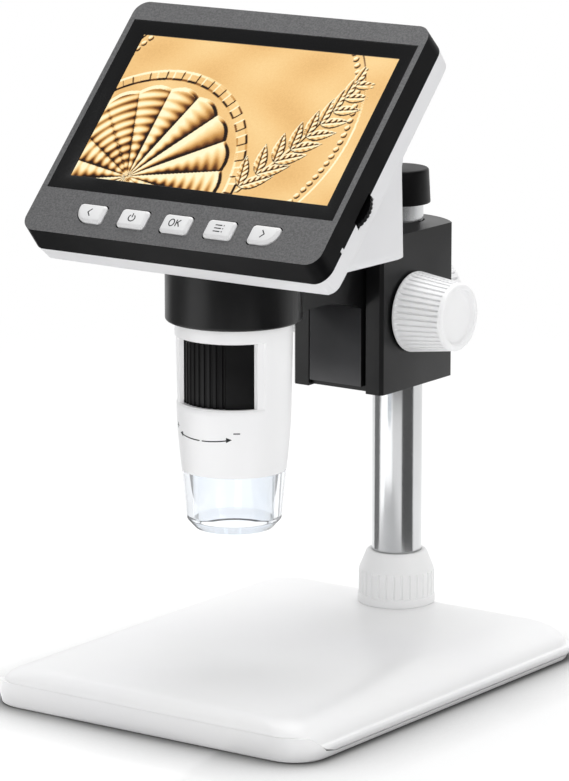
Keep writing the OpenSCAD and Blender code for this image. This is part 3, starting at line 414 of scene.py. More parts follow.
# Moulded nitrile rubber of the feet: matt black with a dusty bloom.
RUBBER = grained("feet_rubber", ("#1A1A1A", "#272727"), 3, 0.4, 0.03, (0.7, 0.85), IOR=1.52)

# Glass-epoxy board under green solder mask.
BOARD = grained("circuit_board", ("#0F5A33", "#156B3E"), 1.6, 0.8, 0.02, (0.25, 0.4), detail=5.0, IOR=1.5)

# Lamp board under white solder mask, which throws the light down.
LAMP_BOARD = grained("white_mask_board", ("#E6E8E6", "#F0F1EE"), 3, 0.8, 0.01, (0.3, 0.42), IOR=1.5)

# Unpainted black ABS inside the housings.
INNER = grained("inner_black", ("#121213", "#1A1A1B"), 6, 0.6, 0.02, (0.5, 0.65), IOR=1.5)

# Aluminium-laminate pouch of the battery.
FOIL = grained("cell_foil", ("#B6B8BC", "#C6C8CB"), 8, 3.0, 0.05, (0.3, 0.45), Metallic=1.0)

# White LEDs: yellow phosphor that glows a cool white.
LED = grained("led_phosphor", ("#F3E39A", "#F8ECB4"), 1, 0.5, 0.01,
              Emission_Color=srgb("#DCEBFF"), Emission_Strength=3.0)

# Screen-printed ink of the signs and marks: a flat, slightly worn black.
INK = grained("printed_ink", ("#121314", "#1B1C1E"), 1, 0.3, 0.004, (0.5, 0.6), IOR=1.4)

STEEL = polished_steel()
GLASS = optical_glass()
PICTURE = lit_picture()

NODES_OF_FINISH = (
    (GLOSS_WHITE, "base_shell base_tray"),
    (SATIN_WHITE, "rear_shell"),
    (SEMI_WHITE, "column_collar lock_knob focus_knob_right focus_knob_left barrel_body"),
    (KEY_WHITE, "button_left button_power button_ok button_menu button_right"),
    (GREY_FRAME, "bezel"),
    (GLOSS_BLACK, "lcd_mask lcd_panel"),
    (SATIN_BLACK, "carriage_block channel_stop holder_arm"),
    (MATT_BLACK, "column_cap focus_wheel dimmer_wheel"),
    (STEEL, "column"),
    (ZINC, "ballast_plate base_screws column_plug column_bolt lock_stud focus_shaft"),
    (ZINC, "usb_socket card_socket housing_screws"),
    (BRASS, "clamp_bush lock_shoe focus_rack focus_pinion"),
    (ACRYLIC, "hood"),
    (GLASS, "front_lens rear_lens"),
    (RUBBER, "base_feet"),
    (BOARD, "main_board button_board camera_board"),
    (LAMP_BOARD, "led_board"),
    (INNER, "bush_ring dimmer_pot wheel_retainer image_sensor lens_carrier"),
    (FOIL, "battery"),
    (LED, "led_chips"),
)
for finish, names in NODES_OF_FINISH:
    for name in names.split():
        materials = frame["nodes"][name].data.materials
        materials.clear()
        materials.append(finish)


# ---- Camera ----

CAMERA_PLACE = (778.583, -1096.002, 380.887)
CAMERA_AZIMUTH, CAMERA_DOWN = 35.464, 12.12
CAMERA_LENS, CAMERA_SENSOR = 204.69, 36.0

azimuth = math.radians(CAMERA_AZIMUTH)
ACROSS = np.array([math.cos(azimuth), math.sin(azimuth), 0.0])
AWAY = np.array([-math.sin(azimuth), math.cos(azimuth), 0.0])

eye = bpy.data.cameras.new("eye")
eye.lens = CAMERA_LENS
eye.sensor_width = CAMERA_SENSOR
eye.clip_start = 0.05
eye.clip_end = 50.0
camera = new_object("camera", eye)
camera.location = [value * MM for value in CAMERA_PLACE]
camera.rotation_euler = (math.radians(90 - CAMERA_DOWN), 0.0, azimuth)
bpy.context.scene.camera = camera


# ---- Outlines and surfaces ----

SIGN_X = np.array([1, 1, -1, -1])
SIGN_Y = np.array([-1, 1, 1, -1])


def round_rectangle(half, low, high, radius, corner, side=0):
    """Loops of a rectangle with round corners, one row for each row of the values given.

    A loop runs anticlockwise from the lower right corner. At a corner it is the corner's centre
    plus its radius in the direction of the angle; between two corners it is a straight share of
    the way from one to the next. Radius has rows of four, one for each corner. Corner is the
    number of steps round a corner, and side the number of points between two corners.
    """
    which = np.repeat(np.arange(4), corner + 1 + side)
    bend = np.concatenate([90 * np.arange(corner + 1) / corner - 90, np.zeros(side)])
    angle = np.radians(np.concatenate([90 * k + bend for k in range(4)]))
    share = np.tile(np.concatenate([np.zeros(corner + 1), np.arange(1, side + 1) / (side + 1)]), 4)[:, None]
    half, low, high = [np.atleast_1d(v)[:, None] if np.ndim(v) < 2 else v for v in (half, low, high)]

    def at(corners):
        r = radius[:, corners]
        x = SIGN_X[corners] * (half - r) + r * np.cos(angle)
        y = np.where(SIGN_Y[corners] > 0, high - r, low + r) + r * np.sin(angle)
        return np.stack(np.broadcast_arrays(x, y), -1)

    return at(which) * (1 - share) + at((which + 1) % 4) * share


def turned(profile, axis_y, segments):
    """Closed surface of revolution about a vertical axis, from a closed profile of (radius, z)."""
    profile = np.asarray(profile, float)
    angle = np.linspace(0, 2 * np.pi, segments, endpoint=False)
    x = profile[:, :1] * np.cos(angle)
    y = axis_y + profile[:, :1] * np.sin(angle)
    z = np.broadcast_to(profile[:, 1:], x.shape)
    return ring_loft(np.stack([x, y, z], -1))


def rounded_profile(corners, steps):
    """Closed profile through corners (radius, z, rounding), each corner replaced by a short curve.

    Between the two points where the curve leaves the sides it is a quadratic Bezier arc with
    the corner as its middle point. A curve takes up less than half of a side.
    """
    most = 0.49
    corners = np.asarray(corners, float)
    points = corners[:, :2]
    before, after = np.roll(points, 1, 0), np.roll(points, -1, 0)
    out = []
    for here, back, ahead, size in zip(points, before, after, corners[:, 2]):
        if size <= 0:
            out.append(here[None])
            continue
        a, b = back - here, ahead - here
        start = here + a / np.linalg.norm(a) * min(size, np.linalg.norm(a) * most)
        end = here + b / np.linalg.norm(b) * min(size, np.linalg.norm(b) * most)
        t = np.linspace(0, 1, steps + 1)[:, None]
        out.append((1 - t) ** 2 * start + 2 * t * (1 - t) * here + t ** 2 * end)
    return np.concatenate(out)


def put(points, origin, along, first):
    """Local points (x, y, z) put at an origin, with z along one direction and x along another."""
    along, first = np.asarray(along, float), np.asarray(first, float)
    basis = np.stack([first, np.cross(along, first), along])
    return np.asarray(origin) + np.asarray(points, float).reshape(-1, 3) @ basis


GROOVE_SHARES = (-1.0, -0.92, -0.7, -0.35, 0.0, 0.35, 0.7, 0.92, 1.0)
LAND_STEP = math.radians(4)
OUTER_SHARE = 0.72


def grooved(profile, centres, depth, width, low, high, ramp):
    """Closed surface of revolution about z with round-bottomed grooves along it.

    Radius = profile radius - depth * groove * mask. Groove is sqrt(1 - share^2), with share the
    arc distance to the nearest groove's middle over half the groove's width. Mask rises over a
    short ramp at both ends and is 0 on points well inside the outer radius.
    """
    profile, centres = np.asarray(profile, float), np.sort(np.radians(centres) % (2 * np.pi))
    outer = profile[:, 0].max()
    half = width / 2 / outer
    gaps = np.diff(np.append(centres, centres[0] + 2 * np.pi))
    angles, dips = [], []
    for middle, gap in zip(centres, gaps):
        for share in GROOVE_SHARES:
            angles.append(middle + share * half)
            dips.append(math.sqrt(max(0.0, 1 - share * share)))
        land = gap - 2 * half
        steps = max(2, int(land / LAND_STEP))
        for k in range(1, steps):
            angles.append(middle + half + land * k / steps)
            dips.append(0.0)
    r, z = profile[:, :1], profile[:, 1:]
    mask = np.clip((z - low) / ramp, 0, 1) * np.clip((high - z) / ramp, 0, 1) * (r > OUTER_SHARE * outer)
    radius = r - depth * mask * np.array(dips)
    flat = np.stack([radius * np.cos(angles), radius * np.sin(angles)], -1)
    return ring_loft(with_height(flat, z))


def finer(profile, low, high, step):
    """Adds points to the long sides of a closed profile between two heights, a step apart."""
    out = []
    heights = np.arange(low, high + step / 2, step)
    for here, ahead in zip(profile, np.roll(profile, -1, 0)):
        out.append(here)
        foot, top = sorted((here[1], ahead[1]))
        levels = heights[(heights > foot) & (heights < top)]
        if ahead[1] < here[1]:
            levels = levels[::-1]
        for z in levels:
            out.append(here + (ahead - here) * (z - here[1]) / (ahead[1] - here[1]))
    return np.array(out)


PRINT_SUNK = -0.02                   # how deep printed ink starts under its surface
PRINT_RISE = 0.03                    # how far it stands out


def ribbon(path, width, surface, closed=False):
    """Thin printed line along a path (s, t); surface(points, height) gives the row-frame points.

    Its edges lie half a width to each side of the path, square to the mean of the two
    directions that meet at a point and lengthened so that the line keeps its width in a bend.
    """
    path = np.asarray(path, float)
    ahead = np.roll(path, -1, 0) - path
    back = path - np.roll(path, 1, 0)
    if not closed:
        ahead[-1], back[0] = back[-1], ahead[0]
    ahead /= np.linalg.norm(ahead, axis=1)[:, None]
    back /= np.linalg.norm(back, axis=1)[:, None]
    mean = ahead + back
    mean /= np.linalg.norm(mean, axis=1)[:, None]
    side = np.stack([-mean[:, 1], mean[:, 0]], -1) * (width / 2) / np.sum(mean * ahead, 1)[:, None]
    left, right = path + side, path - side
    rows = np.stack([surface(left, PRINT_SUNK), surface(right, PRINT_SUNK),
                     surface(right, PRINT_RISE), surface(left, PRINT_RISE)], 1)
    return ring_loft(rows) if closed else loft(rows)


def patch(outline, surface):
    """Thin printed area inside an outline on a surface."""
    outline = np.asarray(outline, float)
    return loft([surface(outline, PRINT_SUNK), surface(outline, PRINT_RISE)])


# ---- Base ----

BASE_LOW, BASE_HIGH = box_mm("base_shell")
BASE_TOP = BASE_HIGH[2]
BASE_CORNER, CORNER_SHARPEN = 11.0, 0.3
BASE_SLOPE, SKIRT_OUT, CREASE_Z = 16.0, 1.3, 4.5
FRONT_ROUND, FRONT_TAPER, TRAY_Z, SKIRT_IN, BELLY_Z = 5.0, 0.2, 0.05, 1.2, 3.55
PARTING_FRONT, PARTING_SIDE, PARTING_START, PARTING_RUN = 7.7, 1.95, 3.0, 11.0
SEAM_FRONT, SEAM_SIDE = 0.06, 0.35
TRAY_WALL, FOOT_EASE, FOOT_EASE_H, SHELL_WALL = 2.4, 0.35, 0.4, 2.2
DOME_START = 0.1                     # radians


def front_inset(z):
    """How far the front wall stands in: a slight taper, then a quarter circle into the top."""
    edge = BASE_TOP - FRONT_ROUND
    turn = np.sqrt(np.clip(1 - ((z - edge) / FRONT_ROUND) ** 2, 0, 1))
    return np.where(z <= edge, FRONT_TAPER * (edge - z) / (edge - TRAY_Z), FRONT_ROUND * (1 - turn))


def parting_height(y):
    """Height of the seam: high at the front, down a half cosine wave, then low along the sides."""
    share = np.clip((y - BASE_LOW[1] - PARTING_START) / PARTING_RUN, 0, 1)
    return PARTING_SIDE + (PARTING_FRONT - PARTING_SIDE) * (1 + np.cos(np.pi * share)) / 2


def base_loop(side, front, z):
    """Loops of the base in plan at heights z, drawn in by side and front insets."""
    half, low, high = BASE_HIGH[0] - side, BASE_LOW[1] + front, BASE_HIGH[1] - side
    radius = BASE_CORNER - CORNER_SHARPEN * side[:, :1] * np.ones(4)
    return with_height(round_rectangle(half, low, high, radius, 14, 24), z)


def base_top_shell():
    """Upper moulding of the base.

    Its wall follows a path of side inset and height: a skirt that bellies out, a soft crease and
    a quarter ellipse up to the flat top. Every point is lifted at least to the seam's height.
    """
    skirt = rounded_profile([
        [SKIRT_IN, TRAY_Z, 0], [SKIRT_IN / 2, 1.7, 0.5], [0.0, BELLY_Z, 1.0], [0.42, 4.45, 0.3],
        [1.15, 4.62, 0.35], [SKIRT_OUT + BASE_SLOPE * (1 - math.cos(DOME_START)), 5.3, 0]], 4)
    angle = np.radians(np.linspace(6, 90, 24))
    dome = [SKIRT_OUT + BASE_SLOPE * (1 - np.cos(angle)), CREASE_Z + (BASE_TOP - CREASE_Z) * np.sin(angle)]
    path = np.concatenate([skirt[:-1], np.stack(dome, -1)])
    side, z = path[:, :1], path[:, 1:]
    for _ in range(3):
        y = base_loop(side, front_inset(z), z)[..., 1]
        z = np.maximum(path[:, 1:], parting_height(y))
        side = np.where(z > path[:, 1:], np.interp(z, path[:, 1], path[:, 0]), path[:, :1])
    outer = base_loop(side, front_inset(z), z)
    lip = base_loop(side[:1] + SHELL_WALL, front_inset(z[:1]) + SHELL_WALL, z[:1])
    level = np.zeros_like(side[:1])
    roof = base_loop(level + BASE_SLOPE + SKIRT_OUT, level + FRONT_ROUND + SHELL_WALL,
                     level + BASE_TOP - SHELL_WALL)
    return loft(np.concatenate([roof, lip, outer]))


def skirt_side(z):
    """Side inset of the tray: straight from its foot to where the belly of the shell starts."""
    return np.clip(SKIRT_IN * (1 - (z - TRAY_Z) / (BELLY_Z - TRAY_Z)), 0, SKIRT_IN)


def tray_skirt():
    """Lower moulding of the base: a ring flush with the shell, up to a thin gap under the seam.

    The height of a point is a share of the way from the foot to the seam less the gap. The gap
    widens from the front to the sides with the fall of the seam.
    """
    share = np.concatenate([[0.0, 0.04, 0.12], np.linspace(0.25, 1.0, 6)])[:, None]
    z = np.full((len(share), 1), TRAY_Z)
    for _ in range(4):
        seam = parting_height(base_loop(skirt_side(z), front_inset(z), z)[..., 1])
        fall = (PARTING_FRONT - seam) / (PARTING_FRONT - PARTING_SIDE)
        top = seam - SEAM_FRONT - (SEAM_SIDE - SEAM_FRONT) * fall
        z = TRAY_Z + share * (top - TRAY_Z)
    side, front = skirt_side(z), front_inset(z)
    ease = FOOT_EASE * np.clip(1 - (z - TRAY_Z) / FOOT_EASE_H, 0, 1) ** 2
    outer = base_loop(side + ease, front + ease, z)
    inner = base_loop(side + TRAY_WALL, front + TRAY_WALL, z)
    return ring_loft(np.concatenate([outer, inner[::-1]]))


piece("base_top_shell", base_top_shell(), "base", GLOSS_WHITE, ["base_shell"], 30)
piece("tray_skirt", tray_skirt(), "base", GLOSS_WHITE, [], 40)
refined("base_tray", GLOSS_WHITE, 0.3)


# ---- Column, collar and cap ----

COLLAR_LOW, COLLAR_HIGH = box_mm("column_collar")
CAP_LOW, CAP_HIGH = box_mm("column_cap")
COLLAR_R, COLLAR_FOOT_H, COLLAR_BAND_H, COLLAR_RIBS = 12.2, 2.5, 10.7, 30
TUBE_WALL, SLIP = 1.2, 0.05          # slip is the play between the tube and what sits on it


def column_tube():
    """Drawn tube with a small chamfer at both ends."""
    inner, low, high = COLUMN_R - TUBE_WALL, COLUMN_LOW[2], COLUMN_HIGH[2]
    profile = rounded_profile([[inner, low, 0.2], [COLUMN_R, low, 0.3],
                               [COLUMN_R, high, 0.3], [inner, high, 0.2]], 3)
    return turned(profile, COLUMN_Y, 192)


def collar():
    """Ribbed collar: a plain foot, a grooved band and a cone that closes on the column."""
    low, high, bore, foot = COLLAR_LOW[2], COLLAR_HIGH[2], COLUMN_R + SLIP, COLLAR_R + 0.3
    band_low, band_high = low + COLLAR_FOOT_H, low + COLLAR_BAND_H
    profile = rounded_profile([
        [bore, low, 0], [foot, low, 0.3], [foot, band_low, 0.35], [COLLAR_R, band_low + 0.3, 0.1],
        [COLLAR_R, band_high, 0.9], [COLUMN_R + 1.8, high - 0.5, 0.5], [COLUMN_R + 1.2, high, 0.25],
        [bore, high, 0.2]], 4)
    profile = finer(profile, band_low, band_high, 0.5)
    centres = np.arange(COLLAR_RIBS) * 360 / COLLAR_RIBS
    points, faces = grooved(profile, centres, 0.42, 0.95, band_low + 0.2, band_high + 0.1, 0.3)
    return points + [0, COLUMN_Y, 0], faces


def cap():
    """Black cap: slightly conical, with a soft top edge, and hollow over the tube's end."""
    low, high, foot, bore = CAP_LOW[2], CAP_HIGH[2], CAP_HIGH[0], COLUMN_R + SLIP
    profile = rounded_profile([[bore, low, 0.2], [foot, low, 0.4], [foot - 0.6, high, 1.0],
                               [0, high, 0], [0, COLUMN_HIGH[2], 0], [bore, COLUMN_HIGH[2], 0]], 6)
    return turned(profile, COLUMN_Y, 128)


piece("column_tube", column_tube(), "base", STEEL, ["column"], 50)
piece("ribbed_collar", collar(), "base", SEMI_WHITE, ["column_collar"], 32)
piece("end_cap", cap(), "base", MATT_BLACK, ["column_cap"], 40)


# ---- Carriage and knobs ----

KNOB_LEN, KNOB_BIG, KNOB_SMALL, KNOB_HUB, KNOB_GROOVES = 17.3, 12.85, 10.6, 0.5, 40
LOCK_LEN, LOCK_SMALL, LOCK_HUB = 6.8, 12.0, 3.1
KNOB_START, KNOB_DISH, KNOB_FLOOR, HUB_R = 17.5, 1.5, 2.6, 5
GROOVE_DEPTH, GROOVE_WIDTH = 0.75, 0.85
# The slide's forward faces past this reach are painted lighter, a painted sheen.
SLIDE_FACE_REACH = 30.0              # how far before the shaft the slide's own faces begin

SHAFT_Y, SHAFT_Z = middle_mm("focus_shaft")[1:]
LOCK_FRONT = box_mm("lock_knob")[0][1]
LOCK_Z = middle_mm("lock_knob")[2]


def knob(length, small, hub):
    """Tapered fluted knob about z: hollow round its hub, a soft shoulder, a rim and a shallow dish."""
    big, dish, inside = KNOB_BIG, length - KNOB_DISH, length - KNOB_FLOOR
    profile = rounded_profile([
        [0, hub, 0], [HUB_R, hub, 0.3], [HUB_R, inside, 0.3], [big - 2.2, inside, 0.3], [big - 2, 0, 0.3],
        [big, 0, 0.8], [small, length, 1.3], [small - 1.7, length, 0.3], [small - 2.2, dish, 0.7],
        [0, dish, 0]], 5)
    profile = finer(profile, 1.0, dish, 0.4)
    centres = np.arange(KNOB_GROOVES) * 360 / KNOB_GROOVES
    return grooved(profile, centres, GROOVE_DEPTH, GROOVE_WIDTH, 1.2, length - 1.7, 0.4)


def on_slide_face(centre, normal):
    """True for a face that looks forward and lies on the slide, behind the holder's ring; these faces take
    the lighter colour of the painted sheen.
    """
    return normal[1] < -0.8 and centre[1] > SHAFT_Y - SLIDE_FACE_REACH


for name, side in (("right", 1), ("left", -1)):
    points, faces = knob(KNOB_LEN, KNOB_SMALL, KNOB_HUB)
    points = put(points, (side * KNOB_START, SHAFT_Y, SHAFT_Z), (side, 0, 0), (0, side, 0))
    piece("knob_" + name, (points, faces), "focus_drive", SEMI_WHITE,
          ["focus_knob_" + name], 30)
points, faces = knob(LOCK_LEN, LOCK_SMALL, LOCK_HUB)
points = put(points, (0, LOCK_FRONT, LOCK_Z), (0, 1, 0), (1, 0, 0))
piece("knob_lock", (points, faces), "lock_knob", SEMI_WHITE, ["lock_knob"], 30)
refined("carriage_block", SATIN_BLACK, 0.35)
# The slide's forward faces get a lighter charcoal: painted sheen standing for the light reflected there.
refined("holder_arm", SATIN_BLACK, 0.35, SLIDE_PAINTED_SHEEN, on_slide_face)
refined("channel_stop", SATIN_BLACK, 0.15)


# ---- Barrel ----

HOOD_LOW, HOOD_HIGH = box_mm("hood")
WHEEL_LOW, WHEEL_HIGH = box_mm("focus_wheel")
BARREL_TOP = box_mm("barrel_body")[1][2]
TIP_R, WAIST_R, TIP_Z, WINDOW_Z = 16.05, 17.5, 73.4, 94.7
WINDOW_TOP, SHOULDER_Z, SHOULDER_R = 114.9, 115.0, 18.0
WINDOW_EDGES, WINDOW_LEAN = (-128.0, -29.5), 3.5
POCKET_EDGES, POCKET_Z, POCKET_R, POCKET_RAMP = (-154.0, -21.0), (94.1, 115.2), 17.1, 0.5
BORE_R, THROAT_R, BAY_R, SEAT_Z, BAY_Z = 14.45, 13.6, 15.9, 81.2, 94.5
WHEEL_R, WHEEL_BORE, GRIP_STEP, GRIP_MIDDLE = 15.6, 13.3, 7.5, -95.0


def skin_radius(z):
    """Radius of the barrel under its window: a quarter sine wave from tip to waist."""
    return TIP_R + (WAIST_R - TIP_R) * np.sin(np.pi / 2 * np.clip((z - TIP_Z) / (WINDOW_Z - TIP_Z), 0, 1))


def barrel_radius(azimuth, z):
    """Radius of the white barrel: its skin and shoulder, less a shallow pocket round the window.

    The pocket's mask is the product of two ramps, one round the barrel and one along it. Each
    rises over half a millimetre as the smooth step 3 t^2 - 2 t^3.
    """
    cone = WAIST_R + (SHOULDER_R - WAIST_R) * (z - WINDOW_Z) / (SHOULDER_Z - WINDOW_Z)
    skin = np.minimum(np.where(z < WINDOW_Z, skin_radius(z), cone), SHOULDER_R)
    arc = np.radians(np.minimum(azimuth - POCKET_EDGES[0], POCKET_EDGES[1] - azimuth)) * SHOULDER_R
    rise = np.minimum(z - POCKET_Z[0], POCKET_Z[1] - z)
    share = [np.clip(reach / POCKET_RAMP, 0, 1) for reach in (arc, rise)]
    mask = np.prod([t * t * (3 - 2 * t) for t in share], axis=0)
    return skin - mask * np.clip(skin - POCKET_R, 0, None)


def barrel_grid():
    """Azimuths and heights of the barrel's grid, closer together at the pocket's ramps."""
    ramp = np.array([0.0, 0.5, 1.0, 1.7])
    around = np.unique(np.concatenate([np.arange(-180.0, 180.0, 3.0), WINDOW_EDGES,
                                       POCKET_EDGES[0] + ramp, POCKET_EDGES[1] - ramp]))
    around = around[np.append(True, np.diff(around) > 0.05)]
    levels = np.concatenate([np.linspace(TIP_Z, POCKET_Z[0], 14), POCKET_Z[0] + np.array([0.17, 0.33, 0.5]),
                             np.linspace(WINDOW_Z, WINDOW_TOP, 8),
                             [SHOULDER_Z, POCKET_Z[1], POCKET_Z[1] + 1, BARREL_TOP]])
    return around, levels


def barrel_shell():
    """White barrel: an outer and an inner skin, joined at both ends and round the window.

    The window's side walls lean, so that its opening is wider outside than inside.
    """
    around, levels = barrel_grid()
    first, last = [int(np.argmin(abs(around - edge))) for edge in WINDOW_EDGES]
    bottom, top = [int(np.argmin(abs(levels - edge))) for edge in (WINDOW_Z, WINDOW_TOP)]
    azimuth, z = np.meshgrid(around, levels)
    inner = np.where(z < SEAT_Z, BORE_R, np.where(z < BAY_Z, THROAT_R, BAY_R))
    turned_in = azimuth.copy()
    turned_in[:, first] += WINDOW_LEAN / 2
    turned_in[:, last] -= WINDOW_LEAN / 2
    skins = []
    for radius, angle in ((barrel_radius(azimuth, z), azimuth), (inner, turned_in)):
        angle = np.radians(angle)
        skin = np.stack([radius * np.cos(angle), BARREL_Y + radius * np.sin(angle), z], -1)
        skins.append(skin.reshape(-1, 3))
    rows, columns = z.shape
    solid = np.ones((rows - 1, columns), bool)
    solid[bottom:top, first:last] = False
    cells, count = grid_faces(rows, columns)[solid.ravel()], rows * columns
    borders = []
    for row in (0, rows - 1):
        borders += [(row * columns + c, row * columns + (c + 1) % columns) for c in range(columns)]
    for row in (bottom, top):
        borders += [(row * columns + c, row * columns + c + 1) for c in range(first, last)]
    for column in (first, last):
        borders += [(k * columns + column, (k + 1) * columns + column) for k in range(bottom, top)]
    walls = [[a, b, b + count, a + count] for a, b in borders]
    return np.concatenate(skins), cells.tolist() + (cells + count).tolist() + walls


def focus_ring():
    """Black focusing ring about the barrel's axis, with three gripping sectors of nine grooves."""
    low, high = WHEEL_LOW[2], WHEEL_HIGH[2]
    profile = rounded_profile([[WHEEL_BORE, low, 0], [WHEEL_R, low, 0.2],
                               [WHEEL_R, high, 0.2], [WHEEL_BORE, high, 0]], 3)
    centres = [GRIP_MIDDLE + 120 * k + GRIP_STEP * i for k in range(3) for i in range(-4, 5)]
    points, faces = grooved(profile, centres, 0.5, 1.1, low - 1, high + 1, 0.2)
    return points + [0, BARREL_Y, 0], faces


def clear_hood():
    """Moulded hood: a thick clear wall that tapers to a chamfered mouth, and a spigot above."""
    low, high, shoulder = HOOD_LOW[2], HOOD_HIGH[2], TIP_Z - 0.02
    profile = rounded_profile([
        [10.6, low, 0.25], [12.0, low, 0.4], [14.6, low + 2.9, 0.6], [15.95, shoulder, 0.15],
        [14.4, shoulder, 0.1], [14.4, high, 0.2], [13.0, high, 0.2], [12.8, TIP_Z, 1.0],
        [12.2, low + 3.2, 0.9]], 5)
    return turned(profile, BARREL_Y, 160)


def on_barrel(points, height):
    """Points (degrees from the front towards the right, z) on the barrel's skin."""
    points = np.asarray(points, float)
    angle, z = np.radians(points[:, 0] - 90), points[:, 1]
    r = skin_radius(z) + height
    return np.stack([r * np.cos(angle), BARREL_Y + r * np.sin(angle), z], -1)


def barrel_marks():
    """Printed plus, minus and two-headed arrow that tell the ring's sense of turning.

    The arrow's two halves rise from its middle by the square of their share of the reach.
    """
    middle, raised, head, reach, line = 84.85, 0.9, 1.8, 34.0, 0.36
    deg = np.degrees(1 / skin_radius(middle))
    end, level = middle + raised, middle + raised + 1.9
    minus, plus, arm = 38.8, -40.5, 0.9
    parts = []
    for side in (-1, 1):
        run = side * np.linspace(1.4, reach - head * deg * 0.8, 24)
        parts.append(ribbon(np.stack([run, middle + raised * (run / reach) ** 2], -1), line, on_barrel))
        tip, back = side * reach, side * (reach - head * deg)
        parts.append(patch([[tip, end], [back, end + 0.65], [back, end - 0.95]], on_barrel))
    parts.append(ribbon([[minus - deg, level], [minus + deg, level]], line, on_barrel))
    parts.append(ribbon([[plus - deg * arm, level], [plus + deg * arm, level]], 0.3, on_barrel))
    run = np.linspace(level - arm, level + arm, 6)
    parts.append(ribbon(np.stack([0 * run + plus, run], -1), 0.3 * deg, on_barrel))
    return joined(*parts)


piece("focus_ring", focus_ring(), "focus_wheel", MATT_BLACK, ["focus_wheel"], 30)
piece("clear_hood", clear_hood(), "head", ACRYLIC, ["hood"], 40)
piece("barrel_marks", barrel_marks(), "head", INK)
piece("barrel_shell", barrel_shell(), "head", SEMI_WHITE, ["barrel_body"], 40)


# ---- Keys ----

BUTTON_W, BUTTON_H, BUTTON_V, BUTTON_PITCH, BUTTON_SHIFT = 10.2, 6.6, -40.7, 16.0, 0.4
BUTTON_CORNER, BUTTON_BIG, BUTTON_LEAST, BUTTON_TOP = 1.4, 5.0, 0.35, 2.6
BUTTON_NAMES = ("button_left", "button_power", "button_ok", "button_menu", "button_right")
SIGN_LINE = 0.34


def button_centre(index):
    """Middle of a key in the screen's frame."""
    return np.array([BUTTON_SHIFT + (index - 2) * BUTTON_PITCH, BUTTON_V])


def button_cap(index):
    """Key with straight sides, a broad chamfer with soft edges and a flat top.

    Its rows are a height and an inset from the outline. The row's end keys have one big corner.
    """
    rows = [[-1.6, 0.0], [1.6, 0.0], [1.78, 0.08], [2.42, 0.72], [2.54, 0.9], [BUTTON_TOP, 1.15]]
    n, inset = np.transpose(rows)
    radius = np.full((len(rows), 4), BUTTON_CORNER)
    if index == 0:
        radius[:, 3] = BUTTON_BIG
    if index == 4:
        radius[:, 0] = BUTTON_BIG
    radius = np.maximum(radius - inset[:, None], BUTTON_LEAST)
    flat = round_rectangle(BUTTON_W / 2 - inset, -BUTTON_H / 2 + inset, BUTTON_H / 2 - inset, radius, 8)
    points, faces = loft(with_height(flat + button_centre(index), n))
    return on_screen(points), faces


def on_button(index):
    """Surface on top of a key, for points (right, up) from its middle."""
    def surface(points, height):
        points = np.asarray(points, float) + button_centre(index)
        return on_screen(np.concatenate([points, np.full((len(points), 1), BUTTON_TOP + height)], -1))

    return surface


def circle_path(x, y, radius, start, end, steps=28, squash=1.0):
    """Points of an arc about a centre, with angles in degrees."""
    angle = np.radians(np.linspace(start, end, steps))
    return np.stack([x + radius * squash * np.cos(angle), y + radius * np.sin(angle)], -1)


def button_signs():
    """The usual signs of the five keys as paths: back, power, OK, list, forward."""
    bars = [[[start, v], [end, v]] for start, end in ((-1.5, 0.9), (1.4, 1.75)) for v in (1.1, 0.0, -1.1)]
    return [
        [[[0.55, 1.3], [-0.55, 0.0], [0.55, -1.3]]],
        [circle_path(0, -0.15, 1.15, 125, 415), [[0, 0.05], [0, 1.5]]],
        [circle_path(-1.15, 0, 1.2, 0, 360, 25, 0.75), [[0.5, 1.2], [0.5, -1.2]],
         [[1.85, 1.2], [0.6, -0.1]], [[0.95, 0.3], [1.9, -1.2]]],
        bars,
        [[[-0.55, 1.3], [0.55, 0.0], [-0.55, -1.3]]]]


def printed_sign(paths, surface):
    """Printed lines along the paths of a sign; a path that ends where it starts is a closed one."""
    lines = []
    for path in paths:
        closed = bool(np.allclose(path[0], path[-1]))
        lines.append(ribbon(path[:-1] if closed else path, SIGN_LINE, surface, closed))
    return joined(*lines)


for index, (name, paths) in enumerate(zip(BUTTON_NAMES, button_signs())):
    piece(name + "_key", button_cap(index), name, KEY_WHITE, [name], 20)
    piece(name + "_sign", printed_sign(paths, on_button(index)), name, INK)


# ---- Lit picture ----

ACTIVE_HALF_W, ACTIVE_HALF_H, ACTIVE_GAP = 47.5, 26.95, 0.05
SHELL_U, SHELL_V, SHELL_R, SHELL_RIBS = -27.0, -25.0, 33.0, 9
STEM_LOW, STEM_HIGH, STEM_U, LEAF_PAIRS = -26, 19, 14, 9
RIM_U, RIM_V, RIM_R, BEAD_RING_R, BEAD_R, BEAD_PITCH = -6, -2, 49.6, 47.4, 0.95, 3.2
GOLD_SHADES = {0.0: "#1E0F06", 0.22: "#6A3C14", 0.45: "#C48F4C", 0.62: "#E9BD7C", 0.80: "#F9DA9E",
               1.0: "#FFF0C8"}       # by tone
PANEL_COLUMNS, PANEL_ROWS = 420, 238
PANEL_RISE, PANEL_BACK = 0.12, 0.01


def leaf(u, v, root, direction, length, width):
    """Relief of one leaf: a lens-shaped mound with a sunk middle rib, 0 outside."""
    turn = math.radians(direction)
    along = (u - root[0]) * math.cos(turn) + (v - root[1]) * math.sin(turn)
    across = -(u - root[0]) * math.sin(turn) + (v - root[1]) * math.cos(turn)
    share = np.clip(along / length, 0, 1)
    half = width / 2 * np.sin(np.pi * share ** 0.75) + 1e-6
    inside = np.clip(1 - (across / half) ** 2, 0, 1) * ((along > 0) & (along < length))
    rib = np.exp(-(across / 0.35) ** 2) * 0.35
    vein = 0.12 * np.cos((along - np.abs(across) * 0.8) * 3.2)
    return np.where(inside > 0, np.clip(inside * 3, 0, 1) * (0.8 + vein) - rib, 0)


